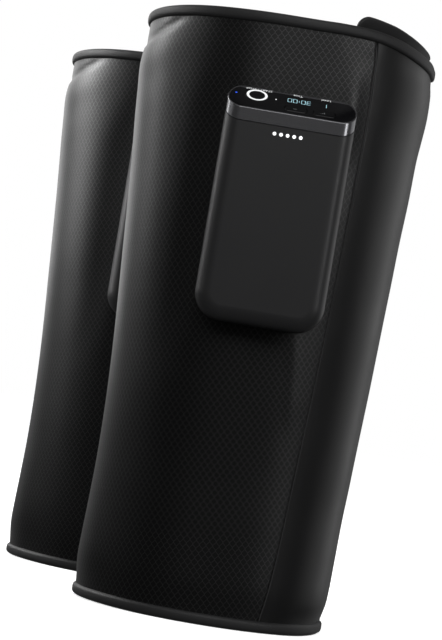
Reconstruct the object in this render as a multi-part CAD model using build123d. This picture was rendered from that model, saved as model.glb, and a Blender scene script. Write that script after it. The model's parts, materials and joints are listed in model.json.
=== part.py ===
from build123d import *

# A pair of inflatable calf sleeves. Each sleeve stands on its lower rim and carries a flat battery pump
# on its front. Units are millimetres and degrees. +Z is up and the pumps face -Y. A bearing runs round
# a sleeve from its front (-Y) towards +X. The origin is the centre of the pair's footprint.
# The pump has a frame of its own: x across it, y up along it, z out of its front, with z = 0 on the
# sleeve's surface. The slanted control face has another: x across, y from its front edge up the slope,
# z out of the face.
import os
from math import atan2, cos, degrees, radians, sin, sqrt

# ---- Sleeve outline: outside of the cover
SLEEVE_HEIGHT = 253.8
TOP_RADIUS = 62.4
SHOULDER_SHARE = 0.88       # heights of the shoulder, calf and waist, as shares of the sleeve's
CALF_SHARE = 0.552
WAIST_SHARE = 0.24
SHOULDER_TAPER = 0.5        # how much smaller the radius is there than at the top
CALF_TAPER = 5.1
WAIST_TAPER = 8.4
FOOT_TAPER = 8.2

# ---- Plies of the wall, from the outside in
COVER_THICKNESS = 1.2
CHAMBER_THICKNESS = 2.8
LINING_THICKNESS = 1.0
PLY_GAP = 0.2
CHAMBER_MARGIN = 10.0       # sewn border that the chambers leave free, above, below and at both ends
CHAMBER_GAP = 1.5           # weld between two chambers
LOWER_CHAMBER_TOP = 92.0
MIDDLE_CHAMBER_DROP = 77.0  # of the middle chamber's top below the sleeve's
FEED_WIDTH = 6.0            # channel that feeds the lower chamber, up beside the middle one

# ---- Wrap: where the plies start and end
SEAM_BEARING = 36.5         # the closure flap is sewn to the cover here
COVER_END_BEARING = 100.0   # the cover's other end, under the flap
FLAP_END_BEARING = 150.0
TAIL_START_BEARING = 27.0
TAIL_END_BEARING = 107.0
FLAP_THICKNESS = 2.2
FLAP_SHIFT = 3.0            # how far the flap's centre lies off the sleeve's, so that it clears the cover
FLAP_SHIFT_BEARING = 130.0
FLAP_TAB_INSET = 8.0        # the flap's free end is narrower than the sleeve, between the rims
FLAP_FLOOR_GAP = 0.4
FLAP_END_GAP = 2.0          # degrees between the flap's full-height part and the cover's end
SEAM_GAP = 0.5
FLAP_OVERRUN = 15.0         # degrees that the flap's plies are drawn past their ends before the cut
HOOK_THICKNESS = 0.6
HOOK_START_BEARING = 112.0
HOOK_END_BEARING = 145.0
HOOK_INSET = 30.0           # from the flap's upper and lower edges
LOOP_MARGIN = 8.0           # the loop patch is larger than the hook patch all round
BOND_GAP = 0.05             # glue between a patch and its bed
TAIL_THICKNESS = 2.5
TAIL_GAP = 0.3
TAIL_RISE = 7.0             # the tail stands above the top rim
TAIL_BOTTOM = 4.0
TAIL_CORNER = 6.0

# ---- Bindings of the rims
BINDING_HEIGHT = 5.2
BINDING_WALL = 1.2
BINDING_GROOVE = 3.4        # depth to which the plies go into the binding
BINDING_CLEARANCE = 0.15
BINDING_ROUND = 1.2

# ---- Pump housing
PUMP_CENTRE_X = 4.2
PUMP_DROP = 31.9            # of its top below the sleeve's
PUMP_LENGTH = 97.2
PUMP_WIDTH = 53.4
PUMP_DEPTH = 15.0           # in front of the sleeve, at the pump's middle
PUMP_EASE = 1.2             # degrees by which the pump stands steeper than the wall behind it
FACE_HEIGHT = 10.0          # slanted control face, from its front edge up to its back edge
FACE_SLANT = 35.5           # from the horizontal
BAND_HEIGHT = 5.4           # from the cap's joint with the front cover up to the slanted face
BOTTOM_CORNER = 11.5
TOP_CORNER = 6.0
FRONT_ROUND = 6.5
SIDE_DROP = 12.0            # how far the housing's sides may reach back round the sleeve
HOUSING_WALL = 1.6
TRAY_FLOOR = 1.3
SEAT_GAP = 0.15
PARTING_DEPTH = 1.6         # plane between rear tray and front cover
JOINT_WIDTH = 0.4           # shadow groove along each joint of the housing
JOINT_DEPTH = 0.3
CREASE_ROUND = 0.4          # edge between the cap's band and the slanted face
FIT_CLEARANCE = 0.15
REST_GAP = 0.25             # between what lies loose in the housing and its seat
LIP_HEIGHT = 1.8
LIP_THICKNESS = 1.0
SEAL_HEIGHT = 1.4
SEAL_WIDTH = 1.0

# ---- Window in the cover, and the plate that clamps the cover there
WINDOW_WIDTH = 26.0
WINDOW_LENGTH = 44.0
WINDOW_CORNER = 5.0
PLATE_BORDER = 5.0
PLATE_THICKNESS = 1.2
PLATE_GAP = 0.05
PLATE_POCKET = 0.2
NIPPLE_RADIUS = 2.0
NIPPLE_BORE = 1.2
NIPPLE_LENGTH = 1.0
SCREW_RADIUS = 1.0
SCREW_HEAD_RADIUS = 1.8
SCREW_HEAD_HEIGHT = 0.8
SCREW_LENGTH = 3.2
SCREW_SINK = 0.3            # of the head's face below the plate's
SCREW_INSET = 3.2           # from the window's edges

# ---- Control face: lens, buttons, display, board
LENS_THICKNESS = 1.0
LENS_BORDER = 0.6           # rim of the cap round the lens
LENS_FIT = 0.05
ROOF_THICKNESS = 1.2
BUTTON_CLEARANCE = 0.2
BUTTON_PROUD = 0.15
BUTTON_TRAVEL = 0.4
FLANGE_WIDTH = 0.8
FLANGE_THICKNESS = 0.8
SWITCH_GAP = 0.5
START_BUTTON = (-15.2, 10.8)
START_RADIUS = 4.5
TIME_BUTTON = (1.6, 4.9)
LEVEL_BUTTON = (13.4, 4.9)
KEY_LENGTH = 9.0
KEY_WIDTH = 4.4
KEY_CORNER = 1.4
DISPLAY_CENTRE = (7.0, 11.8)
DISPLAY_LENGTH = 21.0
DISPLAY_WIDTH = 4.0
DISPLAY_THICKNESS = 1.6
DISPLAY_GAP = 0.1
BOARD_THICKNESS = 0.8
CONTROL_BOARD_LENGTH = 42.0
CONTROL_BOARD_START = 1.2
CONTROL_BOARD_END = 10.8
DOME_RADIUS = 1.5
DOME_HEIGHT = 0.4

# ---- Battery lights on the front cover
LIGHT_COUNT = 5
LIGHT_PITCH = 2.7
LIGHT_RADIUS = 0.85
LIGHT_DROP = 3.3            # below the cap's seam
LIGHT_CLEARANCE = 0.05

# ---- Inside the pump
BATTERY_WIDTH = 42.0
BATTERY_LENGTH = 26.0
BATTERY_THICKNESS = 9.6
BATTERY_CORNER = 2.0
BATTERY_BOTTOM_GAP = 8.4    # room for the charging port below it
MAIN_BOARD_WIDTH = 40.0
MAIN_BOARD_LENGTH = 38.0
MAIN_BOARD_GAP = 0.5        # under the front cover's inside
MOTOR_RADIUS = 4.8
MOTOR_LENGTH = 17.0
MOTOR_X = 12.4
MOTOR_TOP_GAP = 0.4         # under the main board
MOTOR_END = 2.0             # of the can, beyond the shaft's bore
SHAFT_RADIUS = 0.75
SHAFT_CLEARANCE = 0.08
SHAFT_END_GAP = 0.8
ECCENTRIC_RADIUS = 2.2
ECCENTRIC_OFFSET = 0.9
ECCENTRIC_LENGTH = 4.0
HEAD_WIDTH = 15.0
HEAD_LENGTH = 17.0
HEAD_HEIGHT = 9.0
HEAD_CORNER = 2.0
HEAD_BORE_RADIUS = 3.6
HEAD_BORE_DEPTH = 7.0
VALVE_WIDTH = 20.0
VALVE_LENGTH = 30.0
VALVE_HEIGHT = 7.6
VALVE_CORNER = 1.0
VALVE_GAP = 1.0
COIL_RADIUS = 3.6
COIL_HEIGHT = 1.0
TUBE_RADIUS = 1.6
TUBE_BORE = 1.0
PORT_X = -11.0
PORT_SPACING = 7.0
LOW_PORT_Y = 1.0
HIGH_PORT_Y = 15.0

# ---- Charging port in the lower end
PORT_WIDTH = 9.0
PORT_HEIGHT = 3.3
PORT_LENGTH = 7.3
PORT_WALL = 0.35
PORT_RECESS = 0.1           # of its mouth behind the housing's lower end
PORT_DEPTH = 5.2            # of its centre, in front of the sleeve
TONGUE_WIDTH = 6.6
TONGUE_THICKNESS = 0.7
TONGUE_LENGTH = 5.0

# ---- The pair
PAIR_OFFSET_X = -43.4       # from the right unit's axis to the left unit's
PAIR_OFFSET_Y = 164.7

LARGE = 400.0               # size of a shape that cuts away all beyond a plane
MARGIN = 1.0                # by which a smaller cutting shape overshoots what it cuts
FOOT_RADIUS = TOP_RADIUS - FOOT_TAPER
CALF_RADIUS = TOP_RADIUS - CALF_TAPER
OUTLINE = [
    (FOOT_RADIUS, 0.0),
    (TOP_RADIUS - WAIST_TAPER, WAIST_SHARE * SLEEVE_HEIGHT),
    (CALF_RADIUS, CALF_SHARE * SLEEVE_HEIGHT),
    (TOP_RADIUS - SHOULDER_TAPER, SHOULDER_SHARE * SLEEVE_HEIGHT),
    (TOP_RADIUS, SLEEVE_HEIGHT),
]
CHAMBER_OUT = COVER_THICKNESS + PLY_GAP
LINING_OUT = CHAMBER_OUT + CHAMBER_THICKNESS + PLY_GAP
WALL_THICKNESS = LINING_OUT + LINING_THICKNESS
TAIL_OUT = WALL_THICKNESS + BINDING_WALL + TAIL_GAP
PLY_LOW = BINDING_HEIGHT - BINDING_GROOVE + BINDING_CLEARANCE
PLY_HIGH = SLEEVE_HEIGHT - PLY_LOW


# ---------------------------------------------------------------- sleeve geometry

def outline(inset):
    """The cover's outline, moved inward by inset, as a curve in the XZ plane."""
    points = [(radius - inset, height) for radius, height in OUTLINE]
    return Plane.XZ * Spline(*points, tangents=[(0, 1), (0, 1)])


def radius_at(height):
    """Radius of the cover's outside at a height."""
    level = Plane.XZ * Line((0, height), (LARGE, height))
    return (outline(0) & level).vertices()[0].X if 0 < height < SLEEVE_HEIGHT else TOP_RADIUS


def ply_section(outside, inside, rise=0):
    """Section of a ply between two depths below the cover's outside, and on above the rim by a rise."""
    outer, inner = outline(outside), outline(inside)
    up = Vector(0, 0, rise)
    edges = [outer, inner, Line(outer @ 0, inner @ 0), Line((outer @ 1) + up, (inner @ 1) + up)]
    if rise:
        edges += [Line(edge @ 1, (edge @ 1) + up) for edge in (outer, inner)]
    return make_face(edges)


def strip(low, high):
    """Part of the XZ plane between two heights."""
    size = high - low
    return Plane.XZ * Pos(LARGE / 2, low + size / 2) * Rectangle(LARGE, size)


def turned(section, start, end):
    """A section in the XZ plane, carried round the sleeve from one bearing to another."""
    return Rot(0, 0, start - 90) * revolve(section, Axis.Z, end - start)


def ply(outside, inside, low, high, start, end):
    """One ply of the wrapped sleeve."""
    return turned(ply_section(outside, inside) & strip(low, high), start, end)


def off_centre(part):
    """Moves a ply of the closure flap to the flap's own centre."""
    bearing = radians(FLAP_SHIFT_BEARING)
    return Pos(FLAP_SHIFT * sin(bearing), -FLAP_SHIFT * cos(bearing), 0) * part


def before_bearing(bearing, gap):
    """Everything on the near side of the upright plane at a bearing, less a gap."""
    return Rot(0, 0, bearing - 90) * Pos(LARGE / 2, gap - LARGE / 2, 0) * Box(LARGE, LARGE, 2 * LARGE)


def past_bearing(bearing, low=-LARGE, high=LARGE):
    """Everything on the far side of the upright plane at a bearing, between two heights."""
    return Rot(0, 0, bearing - 90) * Pos(0, LARGE / 2, (low + high) / 2) * Box(
        2 * LARGE, LARGE, high - low)


def along_bearing(bearing, width, low, high):
    """An upright bar of a width, from the sleeve's axis out along a bearing, between two heights."""
    return Rot(0, 0, bearing - 90) * Pos(LARGE / 2, 0, (low + high) / 2) * Box(LARGE, width, high - low)


def sleeve_core(offset):
    """The space inside the cover's outside, grown by an offset."""
    edge = outline(-offset)
    foot, head = edge @ 0, edge @ 1
    section = make_face([edge, Line(foot, (0, 0, foot.Z)), Line((0, 0, foot.Z), (0, 0, head.Z)),
                         Line((0, 0, head.Z), head)])
    return revolve(section, Axis.Z, 360)


# ---------------------------------------------------------------- pump frames

PUMP_TOP = SLEEVE_HEIGHT - PUMP_DROP
PUMP_BOTTOM = PUMP_TOP - PUMP_LENGTH
PUMP_MIDDLE = (PUMP_BOTTOM + PUMP_TOP - FACE_HEIGHT) / 2
WALL_SLOPE = (radius_at(PUMP_TOP) - radius_at(PUMP_BOTTOM)) / (PUMP_TOP - PUMP_BOTTOM)
WALL_RADIUS = radius_at(PUMP_BOTTOM) + WALL_SLOPE * (PUMP_MIDDLE - PUMP_BOTTOM)
PUMP_LEAN = degrees(atan2(WALL_SLOPE, 1)) - PUMP_EASE
PUMP_PLANE = Plane(
    origin=(PUMP_CENTRE_X, -WALL_RADIUS, PUMP_MIDDLE),
    x_dir=(1, 0, 0),
    z_dir=(0, -cos(radians(PUMP_LEAN)), -sin(radians(PUMP_LEAN))),
)
LOW_Y = PUMP_BOTTOM - PUMP_MIDDLE
EDGE_Y = PUMP_TOP - FACE_HEIGHT - PUMP_MIDDLE
SEAM_Y = EDGE_Y - BAND_HEIGHT
FACE_RISE = sin(radians(FACE_SLANT))
FACE_RUN = cos(radians(FACE_SLANT))
TOP_Y = PUMP_TOP - PUMP_MIDDLE
FACE_PLANE = Plane(origin=(0, EDGE_Y, PUMP_DEPTH), x_dir=(1, 0, 0), z_dir=(0, FACE_RUN, FACE_RISE))


def in_pump(part):
    """Takes a part from the sleeve's frame into the pump's."""
    return PUMP_PLANE.location.inverse() * part


def from_pump(part):
    """Takes a part from the pump's frame into the sleeve's."""
    return PUMP_PLANE.location * part


def on_face(part):
    """Takes a part from the control face's frame into the pump's."""
    return FACE_PLANE.location * part


SEAT = in_pump(sleeve_core(SEAT_GAP))
FLOOR = in_pump(sleeve_core(SEAT_GAP + TRAY_FLOOR))
FLOOR_REST = in_pump(sleeve_core(SEAT_GAP + TRAY_FLOOR + REST_GAP))
FLOOR_ROOM = in_pump(sleeve_core(SEAT_GAP + TRAY_FLOOR + BUTTON_TRAVEL + REST_GAP))


def pump_form(inset, face_depth):
    """The housing's outer form, drawn in by inset, and cut by the control face lowered by face_depth."""
    low, high = LOW_Y + inset, TOP_Y - inset
    length = high - low + SIDE_DROP
    depth = PUMP_DEPTH - inset + SIDE_DROP
    form = Pos(0, low + length / 2, PUMP_DEPTH - inset - depth / 2) * Box(
        PUMP_WIDTH - 2 * inset, length, depth)
    least = HOUSING_WALL / 2
    form = fillet(form.edges().filter_by(Axis.Z).group_by(Axis.Y)[0], max(BOTTOM_CORNER - inset, least))
    front = form.faces().sort_by(Axis.Z)[-1]
    rounded = [edge for edge in front.edges() if edge.center().Y < high]
    form = fillet(rounded, max(FRONT_ROUND - inset, least))
    crown = Pos(0, high - LARGE / 2, 0) * Box(PUMP_WIDTH - 2 * inset, LARGE, LARGE)
    crown = fillet(crown.edges().filter_by(Axis.Z).group_by(Axis.Y)[-1], max(TOP_CORNER - inset, least))
    return (form & crown) - on_face(Pos(0, 0, LARGE / 2 - face_depth) * Box(LARGE, LARGE, LARGE))


def slab(low_y, high_y, low_z, high_z):
    """Everything in the pump's frame between two lengths and two depths."""
    return Pos(0, (low_y + high_y) / 2, (low_z + high_z) / 2) * Box(
        LARGE, high_y - low_y, high_z - low_z)


def rounded_prism(length, width, corner, low, high):
    """A rounded rectangle, carried along z from low to high."""
    return Pos(0, 0, low) * extrude(RectangleRounded(length, width, corner), high - low)


def crease_rounded(form):
    """The outer form with the edge round its slanted face rounded."""
    slanted = form.faces().sort_by(Axis(FACE_PLANE.origin, FACE_PLANE.z_dir))[-1]
    return fillet(slanted.edges(), CREASE_ROUND)


OUTER_FORM = crease_rounded(pump_form(0, 0))
INNER_FORM = pump_form(HOUSING_WALL, LENS_THICKNESS + ROOF_THICKNESS)
FRONT_INSIDE = PUMP_DEPTH - HOUSING_WALL
PLUG_DEPTH = COVER_THICKNESS + SEAT_GAP + TRAY_FLOOR
PORTS = [
    (PORT_X, LOW_PORT_Y),
    (PORT_X + PORT_SPACING, LOW_PORT_Y),
    (PORT_X + PORT_SPACING / 2, HIGH_PORT_Y),
]
SCREWS = [
    (side * (WINDOW_WIDTH / 2 - SCREW_INSET), end * (WINDOW_LENGTH / 2 - SCREW_INSET))
    for side in (-1, 1)
    for end in (-1, 1)
]


def surface_depth(x, y, depth):
    """Where the sleeve's surface, moved inward by depth, lies under a point of the pump."""
    point = PUMP_PLANE.from_local_coords(Vector(x, y, 0))
    radius = radius_at(point.Z) - depth
    return (-point.Y - sqrt(radius**2 - point.X**2)) / -cos(radians(PUMP_LEAN))


# ---------------------------------------------------------------- sleeve pieces

def window_prism(border):
    """The window through the cover, grown by a border, as a prism in the sleeve's frame."""
    return from_pump(rounded_prism(WINDOW_WIDTH + 2 * border, WINDOW_LENGTH + 2 * border,
                                   WINDOW_CORNER + border, -SIDE_DROP, SIDE_DROP))


def wrap_arc():
    """The bearings over which the cover runs, from its far end round the back to the seam."""
    return COVER_END_BEARING, SEAM_BEARING + 360


def outer_cover():
    """Patterned cover with the pump's window and a shallow bed for the loop patch."""
    cover = ply(0, COVER_THICKNESS, PLY_LOW, PLY_HIGH, *wrap_arc())
    return cover - window_prism(FIT_CLEARANCE) - loop_ply(LOOP_MARGIN, HOOK_THICKNESS)


def loop_ply(margin, thickness):
    """The loop patch's place: a ply let into the cover under the flap's free end."""
    spread = degrees(margin / CALF_RADIUS)
    return ply(0, thickness, HOOK_INSET - margin, SLEEVE_HEIGHT - HOOK_INSET + margin,
               max(HOOK_START_BEARING - spread, COVER_END_BEARING), HOOK_END_BEARING + spread)


def loop_patch():
    """Loop fastener on the cover, under the flap's tab."""
    return loop_ply(LOOP_MARGIN - PLY_GAP, HOOK_THICKNESS - BOND_GAP)


def air_chambers():
    """Three chambers, one above the other; the lowest is fed by a channel beside the middle one."""
    spread = degrees(CHAMBER_MARGIN / CALF_RADIUS)
    start, end = wrap_arc()
    feed_bearing = degrees(atan2(PUMP_CENTRE_X + PORT_X, CALF_RADIUS))
    feed_top = PUMP_PLANE.from_local_coords(Vector(0, LOW_PORT_Y, 0)).Z + FEED_WIDTH / 2
    channel = along_bearing(feed_bearing, FEED_WIDTH, 0, feed_top)
    channel_room = along_bearing(feed_bearing, FEED_WIDTH + 2 * CHAMBER_GAP, 0, feed_top + CHAMBER_GAP)
    middle_top = SLEEVE_HEIGHT - MIDDLE_CHAMBER_DROP
    levels = [
        (CHAMBER_MARGIN, feed_top),
        (LOWER_CHAMBER_TOP + CHAMBER_GAP, middle_top),
        (middle_top + CHAMBER_GAP, SLEEVE_HEIGHT - CHAMBER_MARGIN),
    ]
    lower, middle, upper = [
        ply(CHAMBER_OUT, CHAMBER_OUT + CHAMBER_THICKNESS, low, high, start + spread, end - spread)
        for low, high in levels
    ]
    above = Pos(0, 0, LOWER_CHAMBER_TOP + LARGE / 2) * Box(LARGE, LARGE, LARGE)
    lower -= above - channel
    middle -= channel_room
    pocket_depth = COVER_THICKNESS + PLATE_GAP + PLATE_THICKNESS + PLATE_POCKET
    pocket = plate_blank(PLATE_BORDER + PLATE_POCKET, 0, pocket_depth)
    holes = [from_pump(Pos(x, y, 0) * Cylinder(NIPPLE_RADIUS + PLATE_POCKET, 2 * SIDE_DROP))
             for x, y in PORTS]
    return Compound(children=[
        solid for chamber in (lower, middle, upper) for solid in (chamber - pocket - holes).solids()
    ])


def inner_lining():
    """Skin-side lining, as long and as high as the cover."""
    return ply(LINING_OUT, WALL_THICKNESS, PLY_LOW, PLY_HIGH, *wrap_arc())


def binding_section(radius, thickness, low, opens_up):
    """Rounded channel that takes the edge of a wall of the given thickness."""
    width = thickness + 2 * (BINDING_CLEARANCE + BINDING_WALL)
    centre = radius - thickness / 2
    body = Pos(centre, low + BINDING_HEIGHT / 2) * RectangleRounded(width, BINDING_HEIGHT, BINDING_ROUND)
    groove_width = thickness + 2 * BINDING_CLEARANCE
    groove_low = low + BINDING_HEIGHT - BINDING_GROOVE if opens_up else low
    groove = Pos(centre, groove_low + BINDING_GROOVE / 2) * Rectangle(groove_width, BINDING_GROOVE)
    return Plane.XZ * (body - groove)


def edge_bindings():
    """Bound edges of the cover at its lower and upper rims."""
    top = SLEEVE_HEIGHT - BINDING_HEIGHT
    rims = [binding_section(FOOT_RADIUS, WALL_THICKNESS, 0, True),
            binding_section(TOP_RADIUS, WALL_THICKNESS, top, False)]
    return Compound(children=[turned(rim, *wrap_arc()) for rim in rims])


def flap_zone(outside, inside, low, high, end):
    """A ply on the flap's own centre, from the seam to a bearing."""
    blank = off_centre(ply(outside, inside, low, high,
                           SEAM_BEARING - FLAP_OVERRUN, end + FLAP_OVERRUN))
    return blank - before_bearing(SEAM_BEARING, SEAM_GAP) - past_bearing(end)


def hook_ply(outside, inside):
    """The hook patch's place on the inside of the flap."""
    blank = off_centre(ply(outside, inside, HOOK_INSET, SLEEVE_HEIGHT - HOOK_INSET,
                           HOOK_START_BEARING - FLAP_OVERRUN, HOOK_END_BEARING + FLAP_OVERRUN))
    return blank - before_bearing(HOOK_START_BEARING, 0) - past_bearing(HOOK_END_BEARING)


def closure_flap():
    """Smooth flap: full height as far as the cover's end, then a narrower tab between the rims."""
    flap = flap_zone(0, FLAP_THICKNESS, FLAP_FLOOR_GAP + PLY_LOW, PLY_HIGH, FLAP_END_BEARING)
    tab_start = COVER_END_BEARING - FLAP_END_GAP
    flap -= past_bearing(tab_start, -LARGE, FLAP_TAB_INSET)
    flap -= past_bearing(tab_start, SLEEVE_HEIGHT - FLAP_TAB_INSET, LARGE)
    return flap - hook_ply(FLAP_THICKNESS - HOOK_THICKNESS, FLAP_THICKNESS + PLY_GAP)


def hook_patch():
    """Hook fastener let into the inside of the flap's tab."""
    return hook_ply(FLAP_THICKNESS - HOOK_THICKNESS + BOND_GAP, FLAP_THICKNESS)


def flap_bindings():
    """Bound upper and lower edges of the flap's full-height part, in line with the cover's rims."""
    top = SLEEVE_HEIGHT - BINDING_HEIGHT
    rims = [binding_section(FOOT_RADIUS, FLAP_THICKNESS, FLAP_FLOOR_GAP, True),
            binding_section(TOP_RADIUS, FLAP_THICKNESS, top, False)]
    start, end = SEAM_BEARING - FLAP_OVERRUN, COVER_END_BEARING + FLAP_OVERRUN
    cut = [before_bearing(SEAM_BEARING, SEAM_GAP), past_bearing(COVER_END_BEARING - FLAP_END_GAP)]
    return Compound(children=[off_centre(turned(rim, start, end)) - cut for rim in rims])


def under_flap():
    """Tail of the wrap, inside the closure; its free upper corner is rounded and stands above the rim."""
    top = SLEEVE_HEIGHT + TAIL_RISE
    section = ply_section(TAIL_OUT, TAIL_OUT + TAIL_THICKNESS, TAIL_RISE) & strip(TAIL_BOTTOM, top + MARGIN)
    tail = turned(section, TAIL_START_BEARING, TAIL_END_BEARING)
    corner = Pos(LARGE / 2, TAIL_CORNER / 2, top - TAIL_CORNER / 2) * Box(LARGE, TAIL_CORNER, TAIL_CORNER)
    corner -= Pos(LARGE / 2, TAIL_CORNER, top - TAIL_CORNER) * Rot(0, 90, 0) * Cylinder(TAIL_CORNER, LARGE)
    return tail - Rot(0, 0, TAIL_START_BEARING - 90) * corner


# ---------------------------------------------------------------- seat of the pump

def plate_blank(border, outside, inside):
    """A curved plate under the cover's window, between two depths below the cover's outside."""
    shell = sleeve_core(-outside) - sleeve_core(-inside)
    return shell & window_prism(border)


def port_plate():
    """Plate inside the cover that clamps it to the rear tray, with a nipple into each chamber."""
    outside = COVER_THICKNESS + PLATE_GAP
    plate = plate_blank(PLATE_BORDER, outside, outside + PLATE_THICKNESS)
    drop = {port: surface_depth(*port, outside) for port in PORTS}
    for (x, y), depth in drop.items():
        low = depth - PLATE_THICKNESS - NIPPLE_LENGTH
        plate += from_pump(Pos(x, y, (low + depth - PLATE_THICKNESS / 2) / 2) * Cylinder(
            NIPPLE_RADIUS, depth - PLATE_THICKNESS / 2 - low))
    bores = [from_pump(Pos(x, y, 0) * Cylinder(NIPPLE_BORE, 2 * SIDE_DROP)) for x, y in PORTS]
    return plate - bores - [from_pump(screw_hole(spot)) for spot in SCREWS]


def screw_form(spot, clearance):
    """A countersunk screw from the plate's inside out into the rear tray, in the pump's frame."""
    x, y = spot
    under = screw_face(spot)
    head = Pos(x, y, under + SCREW_HEAD_HEIGHT / 2) * Cone(
        SCREW_HEAD_RADIUS + clearance, SCREW_RADIUS + clearance, SCREW_HEAD_HEIGHT)
    shank = Pos(x, y, under + (SCREW_LENGTH + clearance) / 2) * Cylinder(
        SCREW_RADIUS + clearance, SCREW_LENGTH + clearance)
    return head + shank


def screw_hole(spot):
    """The hole that takes a screw, with room for its sunk head."""
    access = Pos(*spot, screw_face(spot) - SCREW_SINK) * Cylinder(SCREW_HEAD_RADIUS, 2 * SCREW_SINK)
    return screw_form(spot, FIT_CLEARANCE / 2) + access


def screw_face(spot):
    """Depth of a screw's head, sunk below the inside of the port plate."""
    return surface_depth(*spot, COVER_THICKNESS + PLATE_GAP + PLATE_THICKNESS) + SCREW_SINK


def housing_screws():
    """Four screws of the port plate."""
    drive = SCREW_RADIUS / 2
    screws = []
    for x, y in SCREWS:
        slot = Pos(x, y, screw_face((x, y))) * Box(2 * SCREW_RADIUS, drive, drive)
        screws.append(from_pump(screw_form((x, y), 0) - slot))
    return Compound(children=screws)


def rear_tray():
    """Rear shell: a saddle floor on the sleeve, low walls, and a plug through the cover's window."""
    behind = slab(LOW_Y - MARGIN, TOP_Y, -SIDE_DROP - MARGIN, PARTING_DEPTH)
    tray = (OUTER_FORM & behind) - SEAT - (INNER_FORM - FLOOR)
    plug_core = in_pump(sleeve_core(SEAT_GAP + TRAY_FLOOR / 2) - sleeve_core(-COVER_THICKNESS))
    plug = plug_core & rounded_prism(WINDOW_WIDTH, WINDOW_LENGTH, WINDOW_CORNER, -SIDE_DROP, SIDE_DROP)
    tubes = [Pos(x, y, 0) * Cylinder(TUBE_RADIUS + FIT_CLEARANCE, 2 * SIDE_DROP) for x, y in PORTS]
    tray = tray + plug - tubes - [screw_hole(spot) for spot in SCREWS]
    return from_pump(tray - port_hole() - joint_groove())


# ---------------------------------------------------------------- pump housing

def joint_groove():
    """Shadow groove round the housing, along the cap's seam and along the parting plane."""
    skin = OUTER_FORM - pump_form(JOINT_DEPTH, 0)
    half = JOINT_WIDTH / 2
    parting = slab(LOW_Y - MARGIN, TOP_Y, PARTING_DEPTH - half, PARTING_DEPTH + half)
    seam = cap_layer(-half, half) & slab(LOW_Y, TOP_Y, PARTING_DEPTH, PUMP_DEPTH + MARGIN)
    return skin & (seam + parting)


def over_seam(drop):
    """Everything over the cap's joint, which lies parallel to the slanted face, let down by a drop along y."""
    depth = (BAND_HEIGHT + drop) * FACE_RUN
    return on_face(Pos(0, 0, LARGE / 2 - depth) * Box(LARGE, LARGE, LARGE))


def cap_layer(above, below):
    """The layer along the cap's joint between two drops of over_seam."""
    return over_seam(below) - over_seam(above)


def front_cover():
    """Front shell, open at the back and at the cap."""
    region = slab(LOW_Y - MARGIN, TOP_Y, PARTING_DEPTH, PUMP_DEPTH + MARGIN)
    cover = ((OUTER_FORM - INNER_FORM - SEAT) & region) - over_seam(0)
    hole = Cylinder(LIGHT_RADIUS + LIGHT_CLEARANCE, 2 * (HOUSING_WALL + MARGIN))
    lights = [Pos(x, y, PUMP_DEPTH) * hole for x, y in light_spots()]
    return from_pump(cover - lights - port_hole() - joint_groove())


def light_spots():
    """Centres of the battery lights."""
    first = -LIGHT_PITCH * (LIGHT_COUNT - 1) / 2
    return [(first + LIGHT_PITCH * index, SEAM_Y - LIGHT_DROP) for index in range(LIGHT_COUNT)]


def lens_openings(clearance):
    """The three buttons' outlines, grown by a clearance, through the lens and the cap's roof."""
    depth = 2 * (LENS_THICKNESS + ROOF_THICKNESS + MARGIN)
    start = Pos(*START_BUTTON, 0) * Cylinder(START_RADIUS + clearance, depth)
    keys = [
        Pos(x, y, 0) * rounded_prism(KEY_LENGTH + 2 * clearance, KEY_WIDTH + 2 * clearance,
                                     KEY_CORNER + clearance, -depth / 2, depth / 2)
        for x, y in (TIME_BUTTON, LEVEL_BUTTON)
    ]
    return [on_face(opening) for opening in (start, *keys)]


def control_lens():
    """Gloss window let into the slanted face, with a hole for each button."""
    lens = lens_layer(LENS_BORDER) - SEAT - lens_openings(BUTTON_CLEARANCE)
    return from_pump(lens & slab(SEAM_Y, TOP_Y, PARTING_DEPTH + LENS_BORDER, PUMP_DEPTH))


def lens_layer(border):
    """The layer under the slanted face that the lens takes up, within a border."""
    return pump_form(border, 0) - pump_form(0, LENS_THICKNESS)


def control_cap():
    """Cap with the band, the pocket and roof under the lens, and a lip that plugs into the front cover."""
    region = slab(SEAM_Y, TOP_Y, PARTING_DEPTH, PUMP_DEPTH + MARGIN) & over_seam(0)
    pocket = lens_layer(LENS_BORDER - LENS_FIT)
    pocket &= slab(SEAM_Y, TOP_Y, PARTING_DEPTH + LENS_BORDER - LENS_FIT, PUMP_DEPTH)
    cap = (OUTER_FORM - INNER_FORM - SEAT - pocket) & region
    inset = HOUSING_WALL + FIT_CLEARANCE
    root = LIP_HEIGHT / 2
    core = pump_form(inset + LIP_THICKNESS, LENS_THICKNESS)
    lip = (pump_form(inset, LENS_THICKNESS) - core) & cap_layer(-root, LIP_HEIGHT)
    lip += (pump_form(HOUSING_WALL / 2, LENS_THICKNESS) - core) & cap_layer(-root, 0)
    lip &= slab(LOW_Y, TOP_Y, PARTING_DEPTH + SEAL_HEIGHT, PUMP_DEPTH)
    lip -= SEAT
    window = on_face(Pos(*DISPLAY_CENTRE, 0) * Box(
        DISPLAY_LENGTH + 2 * DISPLAY_GAP, DISPLAY_WIDTH + 2 * DISPLAY_GAP,
        2 * (LENS_THICKNESS + ROOF_THICKNESS + MARGIN)))
    return from_pump(cap + lip - lens_openings(BUTTON_CLEARANCE) - window - joint_groove())


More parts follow.
